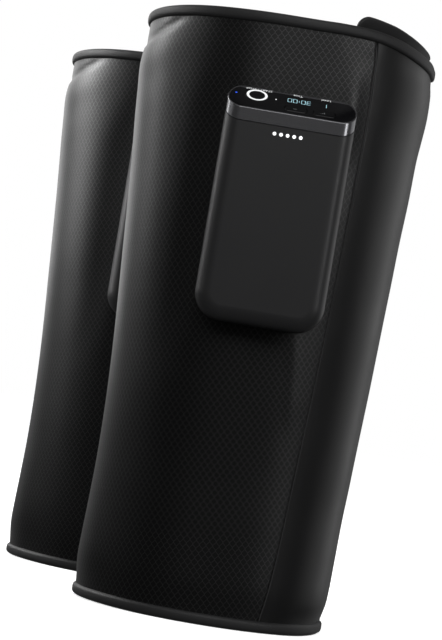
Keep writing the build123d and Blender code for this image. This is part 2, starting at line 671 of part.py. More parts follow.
def housing_seal():
    """Square gasket just inside the walls, across the joint of front cover and rear tray."""
    inset = HOUSING_WALL + FIT_CLEARANCE
    ring = pump_form(inset, LENS_THICKNESS + ROOF_THICKNESS + FIT_CLEARANCE)
    ring -= pump_form(inset + SEAL_WIDTH, LENS_THICKNESS + ROOF_THICKNESS + SEAL_WIDTH)
    middle = PARTING_DEPTH
    ring &= slab(LOW_Y, SEAM_Y - LIP_HEIGHT, middle - SEAL_HEIGHT / 2, middle + SEAL_HEIGHT / 2)
    return from_pump(ring - FLOOR - port_hole())


# ---------------------------------------------------------------- buttons and display

FLANGE_TOP = -(LENS_THICKNESS + ROOF_THICKNESS) - BUTTON_CLEARANCE / 2
FLANGE_LOW = FLANGE_TOP - FLANGE_THICKNESS
DOME_TOP = FLANGE_LOW - SWITCH_GAP
CONTROL_BOARD_TOP = DOME_TOP - DOME_HEIGHT


def start_stop_button():
    """Round button: a crowned head through the lens, and a flange under the roof that keeps it in."""
    head = extrude(Circle(START_RADIUS), BUTTON_PROUD - FLANGE_LOW)
    head = Pos(0, 0, FLANGE_LOW) * chamfer(head.edges().sort_by(Axis.Z)[-1], BUTTON_PROUD)
    flange = Pos(0, 0, FLANGE_LOW) * extrude(Circle(START_RADIUS + FLANGE_WIDTH), FLANGE_THICKNESS)
    return from_pump(on_face(Pos(*START_BUTTON, 0) * (head + flange)) - FLOOR_ROOM)


def key_button(centre):
    """Oblong key with the same head and flange."""
    head = rounded_prism(KEY_LENGTH, KEY_WIDTH, KEY_CORNER, FLANGE_LOW, BUTTON_PROUD)
    head = chamfer(head.edges().group_by(Axis.Z)[-1], BUTTON_PROUD)
    flange = rounded_prism(KEY_LENGTH + 2 * FLANGE_WIDTH, KEY_WIDTH + 2 * FLANGE_WIDTH,
                           KEY_CORNER + FLANGE_WIDTH, FLANGE_LOW, FLANGE_TOP)
    return from_pump(on_face(Pos(*centre, 0) * (head + flange)))


def display_module():
    """Segment display in the cap's window, right under the lens."""
    glass = Pos(*DISPLAY_CENTRE, -LENS_THICKNESS - DISPLAY_THICKNESS / 2) * Box(
        DISPLAY_LENGTH, DISPLAY_WIDTH, DISPLAY_THICKNESS)
    return from_pump(on_face(glass))


def control_board():
    """Board under the slanted face, with a switch dome for each button."""
    width = CONTROL_BOARD_END - CONTROL_BOARD_START
    board = Pos(0, (CONTROL_BOARD_START + CONTROL_BOARD_END) / 2,
                CONTROL_BOARD_TOP - BOARD_THICKNESS / 2) * Box(CONTROL_BOARD_LENGTH, width, BOARD_THICKNESS)
    reach = CONTROL_BOARD_END - DOME_RADIUS
    for x, y in (START_BUTTON, TIME_BUTTON, LEVEL_BUTTON):
        board += Pos(x, min(y, reach), CONTROL_BOARD_TOP) * Cone(
            DOME_RADIUS, DOME_RADIUS / 2, DOME_HEIGHT, align=(Align.CENTER, Align.CENTER, Align.MIN))
    return from_pump(on_face(board) - FLOOR_ROOM)


def light_guide():
    """Five light pipes from the main board out to the front cover's face."""
    low = MAIN_BOARD_TOP
    return Compound(children=[
        from_pump(Pos(x, y, (low + PUMP_DEPTH) / 2) * Cylinder(LIGHT_RADIUS, PUMP_DEPTH - low))
        for x, y in light_spots()
    ])


# ---------------------------------------------------------------- inside the pump

MAIN_BOARD_TOP = FRONT_INSIDE - MAIN_BOARD_GAP
MAIN_BOARD_LOW = MAIN_BOARD_TOP - BOARD_THICKNESS
MAIN_BOARD_HIGH_Y = SEAM_Y - LIP_HEIGHT - FIT_CLEARANCE
MAIN_BOARD_LOW_Y = MAIN_BOARD_HIGH_Y - MAIN_BOARD_LENGTH
MOTOR_Z = MAIN_BOARD_LOW - MOTOR_TOP_GAP - MOTOR_RADIUS
HEAD_LOW_Y = MAIN_BOARD_LOW_Y + 2 * VALVE_GAP
HEAD_HIGH_Y = HEAD_LOW_Y + HEAD_LENGTH
MOTOR_HIGH_Y = HEAD_HIGH_Y + MOTOR_LENGTH
SHAFT_LOW_Y = HEAD_HIGH_Y - HEAD_BORE_DEPTH + SHAFT_END_GAP
VALVE_X = PORT_X + PORT_SPACING / 2 - VALVE_GAP
VALVE_LOW_Y = LOW_PORT_Y - TUBE_RADIUS - 2 * VALVE_GAP
VALVE_TOP = MAIN_BOARD_LOW - COIL_HEIGHT - VALVE_GAP / 2
VALVE_LOW = VALVE_TOP - VALVE_HEIGHT


def along_y(radius, low, high):
    """A round bar along the pump, at the motor's centre line."""
    bar = Rot(-90, 0, 0) * Cylinder(radius, high - low, align=(Align.CENTER, Align.CENTER, Align.MIN))
    return Pos(MOTOR_X, low, MOTOR_Z) * bar


def main_board():
    """Main board, right behind the front cover."""
    board = Pos(0, (MAIN_BOARD_LOW_Y + MAIN_BOARD_HIGH_Y) / 2, MAIN_BOARD_TOP - BOARD_THICKNESS / 2) * Box(
        MAIN_BOARD_WIDTH, MAIN_BOARD_LENGTH, BOARD_THICKNESS)
    return from_pump(board)


def battery_pack():
    """Flat pouch cell between the charging port and the pump."""
    low_y = LOW_Y + BATTERY_BOTTOM_GAP
    top = FRONT_INSIDE - REST_GAP
    form = rounded_prism(BATTERY_WIDTH, BATTERY_LENGTH, BATTERY_CORNER, top - BATTERY_THICKNESS, top)
    cell = Pos(0, low_y + BATTERY_LENGTH / 2, 0) * form
    board = slab(MAIN_BOARD_LOW_Y - REST_GAP, MAIN_BOARD_HIGH_Y, MAIN_BOARD_LOW - REST_GAP, PUMP_DEPTH)
    return from_pump(cell - FLOOR_REST - board)


def pump_motor():
    """Can motor that drives the pump head; its shaft runs in a bore."""
    can = along_y(MOTOR_RADIUS, HEAD_HIGH_Y, MOTOR_HIGH_Y)
    can = chamfer(can.edges().filter_by(GeomType.CIRCLE).sort_by(Axis.Y)[-1], MOTOR_RADIUS / 8)
    bore = along_y(SHAFT_RADIUS + SHAFT_CLEARANCE, HEAD_HIGH_Y - MARGIN, MOTOR_HIGH_Y - MOTOR_END)
    return from_pump(can - bore)


def motor_shaft():
    """Shaft with the eccentric that rocks the pump's diaphragm."""
    shaft = along_y(SHAFT_RADIUS, SHAFT_LOW_Y, MOTOR_HIGH_Y - MOTOR_END - SHAFT_END_GAP)
    eccentric = Pos(ECCENTRIC_OFFSET, 0, 0) * along_y(
        ECCENTRIC_RADIUS, SHAFT_LOW_Y, SHAFT_LOW_Y + ECCENTRIC_LENGTH)
    return from_pump(shaft + eccentric)


def pump_head():
    """Diaphragm pump head with the eccentric's chamber and an outlet towards the valves."""
    centre_z = MOTOR_Z + MOTOR_RADIUS - HEAD_HEIGHT / 2
    middle_y = (HEAD_LOW_Y + HEAD_HIGH_Y) / 2
    block = Pos(MOTOR_X, middle_y, centre_z) * Box(HEAD_WIDTH, HEAD_LENGTH, HEAD_HEIGHT)
    block = fillet(block.edges().filter_by(Axis.Z), HEAD_CORNER)
    block -= along_y(HEAD_BORE_RADIUS, HEAD_HIGH_Y - HEAD_BORE_DEPTH, HEAD_HIGH_Y + MARGIN)
    return from_pump(block - FLOOR_REST - outlet(FIT_CLEARANCE))


def outlet(clearance):
    """Room of the tube from the pump head across to the valve block, grown by a clearance."""
    start = VALVE_X + VALVE_WIDTH / 2 - TUBE_RADIUS
    end = MOTOR_X - HEAD_WIDTH / 2 + TUBE_RADIUS
    tube = Rot(0, 90, 0) * Cylinder(TUBE_RADIUS + clearance, end - start + 2 * clearance)
    return Pos((start + end) / 2, HEAD_LOW_Y + HEAD_LENGTH / 3, MOTOR_Z) * tube


def valve_block():
    """Manifold with three solenoid coils, one for each chamber."""
    block = Pos(VALVE_X, VALVE_LOW_Y + VALVE_LENGTH / 2, VALVE_LOW + VALVE_HEIGHT / 2) * Box(
        VALVE_WIDTH, VALVE_LENGTH, VALVE_HEIGHT)
    block = fillet(block.edges().filter_by(Axis.Z), VALVE_CORNER)
    pitch = VALVE_LENGTH / 3
    for index in range(3):
        block += Pos(VALVE_X, VALVE_LOW_Y + pitch * (index + 0.5), VALVE_TOP + COIL_HEIGHT / 2) * Cylinder(
            COIL_RADIUS, COIL_HEIGHT)
    socket = Cylinder(TUBE_RADIUS + FIT_CLEARANCE / 2, 2 * VALVE_GAP)
    sockets = [Pos(x, y, VALVE_LOW) * socket for x, y in PORTS]
    return from_pump(block - FLOOR_REST - sockets - outlet(FIT_CLEARANCE))


def air_tubes():
    """Three tubes from the valves down to the port plate, and one from the pump head to the valves."""
    tubes = []
    for x, y in PORTS:
        low = surface_depth(x, y, COVER_THICKNESS) + REST_GAP
        high = VALVE_LOW + VALVE_GAP
        wall = Cylinder(TUBE_RADIUS, high - low) - Cylinder(TUBE_BORE, high - low)
        tubes.append(from_pump(Pos(x, y, (low + high) / 2) * wall))
    return Compound(children=[*tubes, from_pump(outlet(0))])


def port_hole():
    """Room of the charging port through the housing's lower end."""
    width, height = PORT_WIDTH + 2 * FIT_CLEARANCE, PORT_HEIGHT + 2 * FIT_CLEARANCE
    return Pos(0, LOW_Y + PORT_LENGTH / 2 - MARGIN, PORT_DEPTH) * Rot(90, 0, 0) * extrude(
        SlotOverall(width, height), PORT_LENGTH / 2 + MARGIN, both=True)


def charge_port():
    """Charging receptacle: a rounded shell with a tongue inside, its mouth in the housing's lower end."""
    def stadium(inset):
        return SlotOverall(PORT_WIDTH - 2 * inset, PORT_HEIGHT - 2 * inset)

    back = PORT_LENGTH - HOUSING_WALL
    shell = extrude(stadium(0), PORT_LENGTH) - Pos(0, 0, HOUSING_WALL) * extrude(stadium(PORT_WALL), back)
    tongue = Box(TONGUE_WIDTH, TONGUE_THICKNESS, TONGUE_LENGTH)
    shell += Pos(0, 0, HOUSING_WALL + TONGUE_LENGTH / 2) * tongue
    mouth = LOW_Y + PORT_RECESS
    return from_pump(Pos(0, mouth + PORT_LENGTH, PORT_DEPTH) * Rot(90, 0, 0) * shell)


PIECES = {
    "outer_cover": outer_cover,
    "air_chambers": air_chambers,
    "inner_lining": inner_lining,
    "edge_bindings": edge_bindings,
    "closure_flap": closure_flap,
    "flap_bindings": flap_bindings,
    "hook_patch": hook_patch,
    "loop_patch": loop_patch,
    "under_flap": under_flap,
    "port_plate": port_plate,
    "rear_tray": rear_tray,
    "front_cover": front_cover,
    "control_cap": control_cap,
    "control_lens": control_lens,
    "start_stop_button": start_stop_button,
    "time_button": lambda: key_button(TIME_BUTTON),
    "level_button": lambda: key_button(LEVEL_BUTTON),
    "light_guide": light_guide,
    "display_module": display_module,
    "control_board": control_board,
    "main_board": main_board,
    "battery_pack": battery_pack,
    "pump_motor": pump_motor,
    "motor_shaft": motor_shaft,
    "pump_head": pump_head,
    "valve_block": valve_block,
    "air_tubes": air_tubes,
    "charge_port": charge_port,
    "housing_screws": housing_screws,
    "housing_seal": housing_seal,
}


def unit_places(pieces):
    """Where each unit's axis stands, with the pair's footprint centred on the origin."""
    boxes = [piece.bounding_box() for piece in pieces.values()]
    middle_x = (min(box.min.X for box in boxes) + max(box.max.X for box in boxes) + PAIR_OFFSET_X) / 2
    middle_y = (min(box.min.Y for box in boxes) + max(box.max.Y for box in boxes) + PAIR_OFFSET_Y) / 2
    return {
        "right": Pos(-middle_x, -middle_y, 0),
        "left": Pos(PAIR_OFFSET_X - middle_x, PAIR_OFFSET_Y - middle_y, 0),
    }


def main():
    """Builds one unit, places it twice and writes a file for each node."""
    os.makedirs("parts", exist_ok=True)
    pieces = {name: build() for name, build in PIECES.items()}
    for unit, place in unit_places(pieces).items():
        for name, piece in pieces.items():
            export_step(place * piece, f"parts/{unit}_{name}.step")


if __name__ == "__main__":
    main()
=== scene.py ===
import json
import logging
from dataclasses import dataclass
from enum import Enum
from math import cos, pi, radians, sin
from typing import Callable

import bpy
import numpy as np
from mathutils import Matrix, Vector


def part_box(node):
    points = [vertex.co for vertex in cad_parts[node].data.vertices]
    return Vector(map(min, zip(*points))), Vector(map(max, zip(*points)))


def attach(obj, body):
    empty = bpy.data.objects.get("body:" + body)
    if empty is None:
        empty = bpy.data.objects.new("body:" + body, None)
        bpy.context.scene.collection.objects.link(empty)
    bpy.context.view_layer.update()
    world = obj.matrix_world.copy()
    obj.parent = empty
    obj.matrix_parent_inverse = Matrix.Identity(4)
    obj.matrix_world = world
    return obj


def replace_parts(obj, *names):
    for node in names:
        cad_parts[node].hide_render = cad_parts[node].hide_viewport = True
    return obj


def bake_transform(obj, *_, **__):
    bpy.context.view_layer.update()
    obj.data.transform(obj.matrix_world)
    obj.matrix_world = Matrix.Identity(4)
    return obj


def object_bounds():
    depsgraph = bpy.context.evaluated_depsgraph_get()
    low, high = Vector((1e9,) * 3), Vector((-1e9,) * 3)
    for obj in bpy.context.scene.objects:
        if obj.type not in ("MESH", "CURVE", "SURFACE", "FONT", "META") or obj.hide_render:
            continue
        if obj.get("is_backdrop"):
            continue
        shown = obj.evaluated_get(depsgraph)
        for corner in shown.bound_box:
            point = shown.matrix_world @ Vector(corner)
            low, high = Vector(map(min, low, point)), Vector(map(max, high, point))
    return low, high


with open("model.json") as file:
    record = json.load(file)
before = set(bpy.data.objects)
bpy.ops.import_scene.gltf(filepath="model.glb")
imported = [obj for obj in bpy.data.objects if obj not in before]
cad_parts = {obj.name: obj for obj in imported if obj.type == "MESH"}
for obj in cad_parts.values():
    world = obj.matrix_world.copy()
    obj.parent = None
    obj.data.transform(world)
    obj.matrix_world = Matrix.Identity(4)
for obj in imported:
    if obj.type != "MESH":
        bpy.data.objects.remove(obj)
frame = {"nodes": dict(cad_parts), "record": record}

MM = 0.001
LOG = logging.getLogger("sleeves")
Array = np.ndarray
Number = float | Array
Pair = tuple[float, float]
Colour = tuple[float, float, float]
Piece = bpy.types.Object
Material = bpy.types.Material
Socket = bpy.types.NodeSocket


class Unit(Enum):
    """The two sleeves of the pair."""

    RIGHT = "right"
    LEFT = "left"


class Body(Enum):
    """What a piece of one unit rides on."""

    ROOT = "root"
    FLAP = "flap"
    START = "start_stop_button"
    TIME = "time_button"
    LEVEL = "level_button"

    def of(self, unit: Unit) -> str:
        """Name of this body in the frame.

        Args:
            unit: the sleeve that the body belongs to.

        Returns:
            The body's name.
        """
        return self.value if self is Body.ROOT else f"{unit.value}_{self.value}"


# ---------------------------------------------------------------- curves and surfaces


def smooth(x: Number, low: float, high: float) -> Number:
    """Smooth step: 0 before low, 1 after high, and 3t^2 - 2t^3 of the share t in between.

    Args:
        x: where it is read.
        low: end of the flat part at 0.
        high: start of the flat part at 1.

    Returns:
        The step's value, as an array or number like x.
    """
    t = np.clip((x - low) / (high - low), 0, 1)
    return t * t * (3 - 2 * t)


def lattice(rows: Array, columns: Array) -> tuple[Array, ...]:
    """Two grids of values, the first alike along each row and the second along each column.

    Args:
        rows: a value for each row.
        columns: a value for each column.

    Returns:
        Both grids.
    """
    return tuple(np.meshgrid(rows, columns, indexing="ij"))


def shares(count: int) -> Array:
    """Equal steps from 0 to 1, both included."""
    return np.linspace(0, 1, count)


def full_turn(count: int) -> Array:
    """Equal steps of an angle round a full circle, from 0."""
    return np.linspace(0, 2 * pi, count, endpoint=False)


def signed_power(x: Array, power: float) -> Array:
    """A power of the size of x, with the sign of x."""
    return np.sign(x) * np.abs(x) ** power


@dataclass(frozen=True)
class Line:
    """A smooth line through knots, flat beyond its ends.

    Each span is a cubic. Its slope at a knot is that of the chord between the two neighbours, and 0 at the
    ends.
    """

    knots: tuple[Pair, ...]

    def __call__(self, x: Number) -> Array:
        """Value of the line.

        Args:
            x: where it is read.

        Returns:
            The values at x.
        """
        at, value = np.array(self.knots, float).T
        slope = np.zeros(len(at))
        slope[1:-1] = (value[2:] - value[:-2]) / (at[2:] - at[:-2])
        x = np.clip(np.asarray(x, float), at[0], at[-1])
        i = np.clip(np.searchsorted(at, x) - 1, 0, len(at) - 2)
        span = at[i + 1] - at[i]
        t = (x - at[i]) / span
        return (
            value[i] * (1 + 2 * t) * (1 - t) ** 2
            + slope[i] * span * t * (1 - t) ** 2
            + value[i + 1] * t * t * (3 - 2 * t)
            + slope[i + 1] * span * t * t * (t - 1)
        )


@dataclass
class Skin:
    """Points and faces of a surface in millimetres, with a flat place for each point."""

    points: Array
    faces: Array
    flat: Array

    @staticmethod
    def grid(points: Array, flat: Array | None = None, ring: bool = False) -> "Skin":
        """Surface over a grid of points, four corners to a face.

        Args:
            points: rows, columns and the three coordinates.
            flat: rows, columns and two flat coordinates, or None for the row and column shares.
            ring: whether the last column joins the first.

        Returns:
            The surface, with faces that look away from row x column.
        """
        rows, columns = points.shape[:2]
        if flat is None:
            flat = np.stack(lattice(shares(rows), shares(columns)), -1)
        index = np.arange(rows * columns).reshape(rows, columns)
        after = np.roll(index, -1, axis=1)
        if not ring:
            index, after = index[:, :-1], after[:, :-1]
        faces = np.stack([index[:-1], index[1:], after[1:], after[:-1]], -1).reshape(-1, 4)
        return Skin(points.reshape(-1, 3), faces, flat.reshape(-1, 2))

    @staticmethod
    def joined(*skins: "Skin") -> "Skin":
        """Several surfaces as one.

        Args:
            skins: the surfaces.

        Returns:
            One surface with all their points and faces.
        """
        starts = np.cumsum([0] + [len(s.points) for s in skins[:-1]])
        return Skin(
            np.concatenate([s.points for s in skins]),
            np.concatenate([s.faces + start for s, start in zip(skins, starts)]),
            np.concatenate([s.flat for s in skins]),
        )

    def turned_over(self) -> "Skin":
        """The same surface with its faces looking the other way."""
        return Skin(self.points, self.faces[:, ::-1], self.flat)

    def without(self, hidden: Callable[[Array], Array]) -> "Skin":
        """The surface less the faces whose middle a rule picks.

        Args:
            hidden: takes face middles and returns True for the faces to leave out.

        Returns:
            The surface that is left.
        """
        middles = self.points[self.faces].mean(1)
        kept = self.faces[~hidden(middles)]
        used, faces = np.unique(kept, return_inverse=True)
        return Skin(self.points[used], faces.reshape(kept.shape), self.flat[used])

    def build(self, name: str, weld: bool = False) -> Piece:
        """Makes the mesh object.

        Args:
            name: the object's name.
            weld: whether points at one place become one, as at a pole.

        Returns:
            The object, linked to the scene, smooth and with its flat place as a UV map in metres.
        """
        points, faces, flat = self.points * MM, self.faces, self.flat * MM
        if weld:
            _, first, same = np.unique(np.round(points, 7), axis=0, return_index=True, return_inverse=True)
            points, flat, faces = points[first], flat[first], same.reshape(-1)[faces]
        polygons = [tuple(dict.fromkeys(face)) for face in faces.tolist()] if weld else faces.tolist()
        mesh = bpy.data.meshes.new(name)
        mesh.from_pydata(points.tolist(), [], [p for p in polygons if len(p) > 2])
        mesh.polygons.foreach_set("use_smooth", np.ones(len(mesh.polygons), bool))
        corners = np.zeros(len(mesh.loops), np.int32)
        mesh.loops.foreach_get("vertex_index", corners)
        mesh.uv_layers.new(name="Flat").data.foreach_set("uv", flat[corners].astype(np.float32).ravel())
        mesh.update()
        made = bpy.data.objects.new(name, mesh)
        bpy.context.scene.collection.objects.link(made)
        return made


# ---------------------------------------------------------------- node materials


@dataclass
class Tree:
    """A node tree under construction. Sockets and plain numbers are given alike.

    Args:
        tree: the node tree of a material or of the world.
    """

    tree: bpy.types.NodeTree

    def node(self, kind: str, values: dict | None = None, **settings) -> bpy.types.Node:
        """Adds a node.

        Args:
            kind: the node's type.
            values: sockets by name or number, each a number, colour or another node's output.
            settings: the node's own properties.

        Returns:
            The node.
        """
        made = self.tree.nodes.new(kind)
        for key, value in settings.items():
            setattr(made, key, value)
        for key, value in (values or {}).items():
            self.feed(made.inputs[key], value)
        return made

    def feed(self, socket: Socket, value) -> None:
        """Links an output into a socket or sets the socket's own value.

        Args:
            socket: the input.
            value: an output socket, a number or a colour.
        """
        if isinstance(value, Socket):
            self.tree.links.new(value, socket)
        elif isinstance(value, tuple) and len(value) == 3 and socket.type == "RGBA":
            socket.default_value = (*value, 1)
        else:
            socket.default_value = value

    def math(self, operation: str, *terms) -> Socket:
        """A sum of its own, such as ADD or MULTIPLY.

        Args:
            operation: the Math node's operation.
            terms: its inputs.

        Returns:
            The result.
        """
        return self.node("ShaderNodeMath", dict(enumerate(terms)), operation=operation).outputs[0]

    def step(self, value, low: float, high: float, start: float = 0.0, end: float = 1.0) -> Socket:
        """A smooth change from start at low to end at high.

        Args:
            value: what is read.
            low: where the change starts.
            high: where it ends.
            start: result before it.
            end: result after it.

        Returns:
            The result.
        """
        values = {"Value": value, "From Min": low, "From Max": high, "To Min": start, "To Max": end}
        return self.node("ShaderNodeMapRange", values, interpolation_type="SMOOTHSTEP").outputs["Result"]


class Recipe(Tree):
    """One node material under construction."""

    def __init__(self, name: str) -> None:
        """Starts a material.

        Args:
            name: the material's name.
        """
        self.material = bpy.data.materials.new(name)
        self.material.use_nodes = True
        super().__init__(self.material.node_tree)

    def mixed(self, share, first, second) -> Socket:
        """Mixes two colours.

        Args:
            share: 0 for the first, 1 for the second.
            first: a colour or output.
            second: a colour or output.

        Returns:
            The mixed colour.
        """
        mix = self.node("ShaderNodeMix", data_type="RGBA")
        for key, value in (("Factor", share), (6, first), (7, second)):
            self.feed(mix.inputs[key], value)
        return mix.outputs[2]

    def noise(self, scale: float, detail: float = 2.0) -> Socket:
        """Noise over the object's own place.

        Args:
            scale: cells in a metre.
            detail: how many finer layers.

        Returns:
            The noise, about 0.5.
        """
        place = self.node("ShaderNodeTexCoord").outputs["Object"]
        return self.node("ShaderNodeTexNoise", {"Vector": place, "Scale": scale, "Detail": detail}).outputs[0]

    def bump(self, height, distance: float, strength: float = 1.0, normal=None) -> Socket:
        """Normal of a relief.

        Args:
            height: relief from 0 to 1.
            distance: depth in metres of a height of 1.
            strength: share of it that shows.
            normal: normal of a relief under this one.

        Returns:
            The normal.
        """
        values = {"Height": height, "Distance": distance, "Strength": strength}
        if normal is not None:
            values["Normal"] = normal
        return self.node("ShaderNodeBump", values).outputs[0]

    def surface(self, **values) -> Material:
        """Sets the shader's sockets, underscores for blanks, and closes the recipe.

        Args:
            values: the shader's inputs by name.

        Returns:
            The material.
        """
        shader = self.tree.nodes["Principled BSDF"]
        for key, value in values.items():
            self.feed(shader.inputs[key.replace("_", " ")], value)
        return self.material


@dataclass(frozen=True)
class Plain:
    """A finish of one colour with a fine grain.

    Args:
        colour: base colour.
        roughness: mean roughness.
        metallic: 1 for metal.
        specular: strength of the plain reflection.
        grain: depth of the surface's grain in metres.
        grain_scale: grains in a metre.
        middle: place along X, in metres, of the middle of a body whose sides are softly rounded, or None.
        glow: light that it gives off.
        mottle: share by which the roughness varies.
        lean_from: distance from the middle at which the rounding starts, in metres.
        lean_to: distance at which it is full.
        lean: how far the normal then leans.
    """

    name: str
    colour: Colour
    roughness: float = 0.5
    metallic: float = 0.0
    specular: float = 0.5
    grain: float = 0.0
    grain_scale: float = 4000.0
    middle: float | None = None
    glow: float = 0.0
    mottle: float = 0.12
    lean_from: float = 12.0 * MM
    lean_to: float = 25.0 * MM
    lean: float = 0.10

    def make(self) -> Material:
        """Builds the material."""
        recipe = Recipe(self.name)
        patches = recipe.noise(60.0, 3.0)
        values = dict(
            Base_Color=self.colour,
            Metallic=self.metallic,
            Specular_IOR_Level=self.specular,
            Roughness=recipe.math("MULTIPLY_ADD", patches, self.mottle * self.roughness,
                                  (1 - self.mottle / 2) * self.roughness),
        )
        normal = None if self.middle is None else self.rounded(recipe)
        if self.grain:
            normal = recipe.bump(recipe.noise(self.grain_scale), self.grain, 1.0, normal)
        if normal is not None:
            values["Normal"] = normal
        if self.glow:
            values.update(Emission_Color=self.colour, Emission_Strength=self.glow)
        return recipe.surface(**values)

    def rounded(self, recipe: Recipe) -> Socket:
        """Normal that leans outward towards the body's sides.

        To the true normal comes k (sign x, 0, 0), where k grows as a smooth step of |x| from the middle.

        Args:
            recipe: the material under construction.

        Returns:
            The normal.
        """
        place = recipe.node("ShaderNodeSeparateXYZ", {0: recipe.node("ShaderNodeTexCoord").outputs["Object"]})
        away = recipe.math("SUBTRACT", place.outputs[0], self.middle)
        lean = recipe.step(recipe.math("ABSOLUTE", away), self.lean_from, self.lean_to, 0.0, self.lean)
        lean = recipe.math("MULTIPLY", lean, recipe.math("SIGN", away))
        aside = recipe.node("ShaderNodeCombineXYZ", {0: lean}).outputs[0]
        normal = recipe.node("ShaderNodeNewGeometry").outputs["Normal"]
        total = recipe.node("ShaderNodeVectorMath", {0: normal, 1: aside}, operation="ADD").outputs[0]
        return recipe.node("ShaderNodeVectorMath", {0: total}, operation="NORMALIZE").outputs[0]


@dataclass(frozen=True)
class HexKnit:
    """Patterned knit: upright hexagons with a fine raised line between them.

    The cells' centres stand on a centred lattice, width apart in a row and rows at the pitch. The mirrored
    place (ax, ay) in a quarter cell has one centre at (0, 0) and one at (width / 2, pitch). The line between
    those two runs from (width / 2, upright) to (0, pitch - upright): with rise = pitch - 2 upright and
    d = sqrt(rise^2 + width^2 / 4), s = (width (pitch - upright) / 2 - rise ax - width ay / 2) / d is the
    distance to it. The upright line lies at width / 2 - ax, or at ax past that line. The smaller of |s| and
    that is the distance to the nearest line.
    """

    name: str = "hexagon-knit"
    width: float = 2.73 * MM
    pitch: float = 1.82 * MM
    upright: float = 0.20 * MM
    line: float = 0.10 * MM
    cell_colour: Colour = (0.0009, 0.0009, 0.0010)
    line_colour: Colour = (0.0075, 0.0075, 0.0080)
    relief: float = 0.012 * MM
    roughness: float = 0.38

    def distance(self, recipe: Recipe) -> Socket:
        """Distance to the nearest line, in metres.

        Args:
            recipe: the material under construction.

        Returns:
            The distance.
        """
        flat = recipe.node("ShaderNodeUVMap", uv_map="Flat").outputs[0]
        place = recipe.node("ShaderNodeSeparateXYZ", {0: flat})
        half = self.width / 2
        across = recipe.math("PINGPONG", place.outputs[0], half)
        up = recipe.math("PINGPONG", place.outputs[1], self.pitch)
        rise = self.pitch - 2 * self.upright
        reach = (half**2 + rise**2) ** 0.5
        slant = recipe.math("MULTIPLY_ADD", across, -rise / reach, half * (self.pitch - self.upright) / reach)
        slant = recipe.math("MULTIPLY_ADD", up, -half / reach, slant)
        near = recipe.math("GREATER_THAN", slant, 0.0)
        other = recipe.math("SUBTRACT", half, across)
        side = recipe.math("MULTIPLY_ADD", recipe.math("SUBTRACT", other, across), near, across)
        return recipe.math("MINIMUM", recipe.math("ABSOLUTE", slant), side)

    def make(self) -> Material:
        """Builds the material."""
        recipe = Recipe(self.name)
        distance = self.distance(recipe)
        line = recipe.step(distance, self.line * 0.35, self.line, 1.0, 0.0)
        dome = recipe.step(distance, 0.0, self.width * 0.16)
        yarn = recipe.noise(2600.0, 2.0)
        wear = recipe.noise(35.0, 3.0)
        normal = recipe.bump(yarn, 0.05 * MM, 0.5)
        normal = recipe.bump(dome, self.relief, 1.0, normal)
        colour = recipe.mixed(line, self.cell_colour, self.line_colour)
        return recipe.surface(
            Base_Color=colour,
            Roughness=recipe.math("MULTIPLY_ADD", wear, 0.08, self.roughness - 0.04),
            Specular_IOR_Level=recipe.math("MULTIPLY_ADD", line, 0.8, 0.42),
            Normal=normal,
        )


@dataclass(frozen=True)
class Cloth:
    """A plain cloth: near-black, with a fine grain."""

    name: str
    colour: Colour = (0.0024, 0.0024, 0.0026)
    roughness: float = 0.38
    specular: float = 0.42
    grain: float = 0.03 * MM
    grain_scale: float = 2500.0

    def make(self) -> Material:
        """Builds the material."""
        recipe = Recipe(self.name)
        patches = recipe.noise(40.0, 3.0)
        return recipe.surface(
            Base_Color=self.colour,
            Roughness=recipe.math("MULTIPLY_ADD", patches, 0.1, self.roughness - 0.05),
            Specular_IOR_Level=self.specular,
            Normal=recipe.bump(recipe.noise(self.grain_scale), self.grain),
        )


@dataclass(frozen=True)
class Pile:
    """Hook or loop fastener: short dense pile."""

    name: str
    colour: Colour = (0.012, 0.012, 0.013)
    tufts: float = 900.0

    def make(self) -> Material:
        """Builds the material."""
        recipe = Recipe(self.name)
        place = recipe.node("ShaderNodeTexCoord").outputs["Object"]
        tufts = recipe.node("ShaderNodeTexVoronoi", {"Vector": place, "Scale": self.tufts}).outputs[0]
        return recipe.surface(
            Base_Color=recipe.mixed(tufts, self.colour, tuple(2.5 * c for c in self.colour)),
            Roughness=0.85,
            Sheen_Weight=0.4,
            Normal=recipe.bump(tufts, 0.3 * MM),
        )


@dataclass(frozen=True)
class Board:
    """Circuit board with a solder mask and faint copper tracks under it."""

    name: str = "circuit-board"

    def make(self) -> Material:
        """Builds the material."""
        recipe = Recipe(self.name)
        place = recipe.node("ShaderNodeTexCoord").outputs["Object"]
        tracks = recipe.node("ShaderNodeTexBrick", {
            "Vector": place, "Scale": 260.0, "Mortar Size": 0.04, "Color1": (0.004, 0.05, 0.02),
            "Color2": (0.004, 0.06, 0.025), "Mortar": (0.02, 0.12, 0.05)})
        return recipe.surface(Base_Color=tracks.outputs[0], Roughness=0.35)


@dataclass(frozen=True)
class Clear:
    """Clear moulded plastic."""

    name: str = "clear-guide"

    def make(self) -> Material:
        """Builds the material."""
        recipe = Recipe(self.name)
        return recipe.surface(Base_Color=(0.9, 0.92, 0.95), Roughness=0.25, Transmission_Weight=0.6, IOR=1.49)


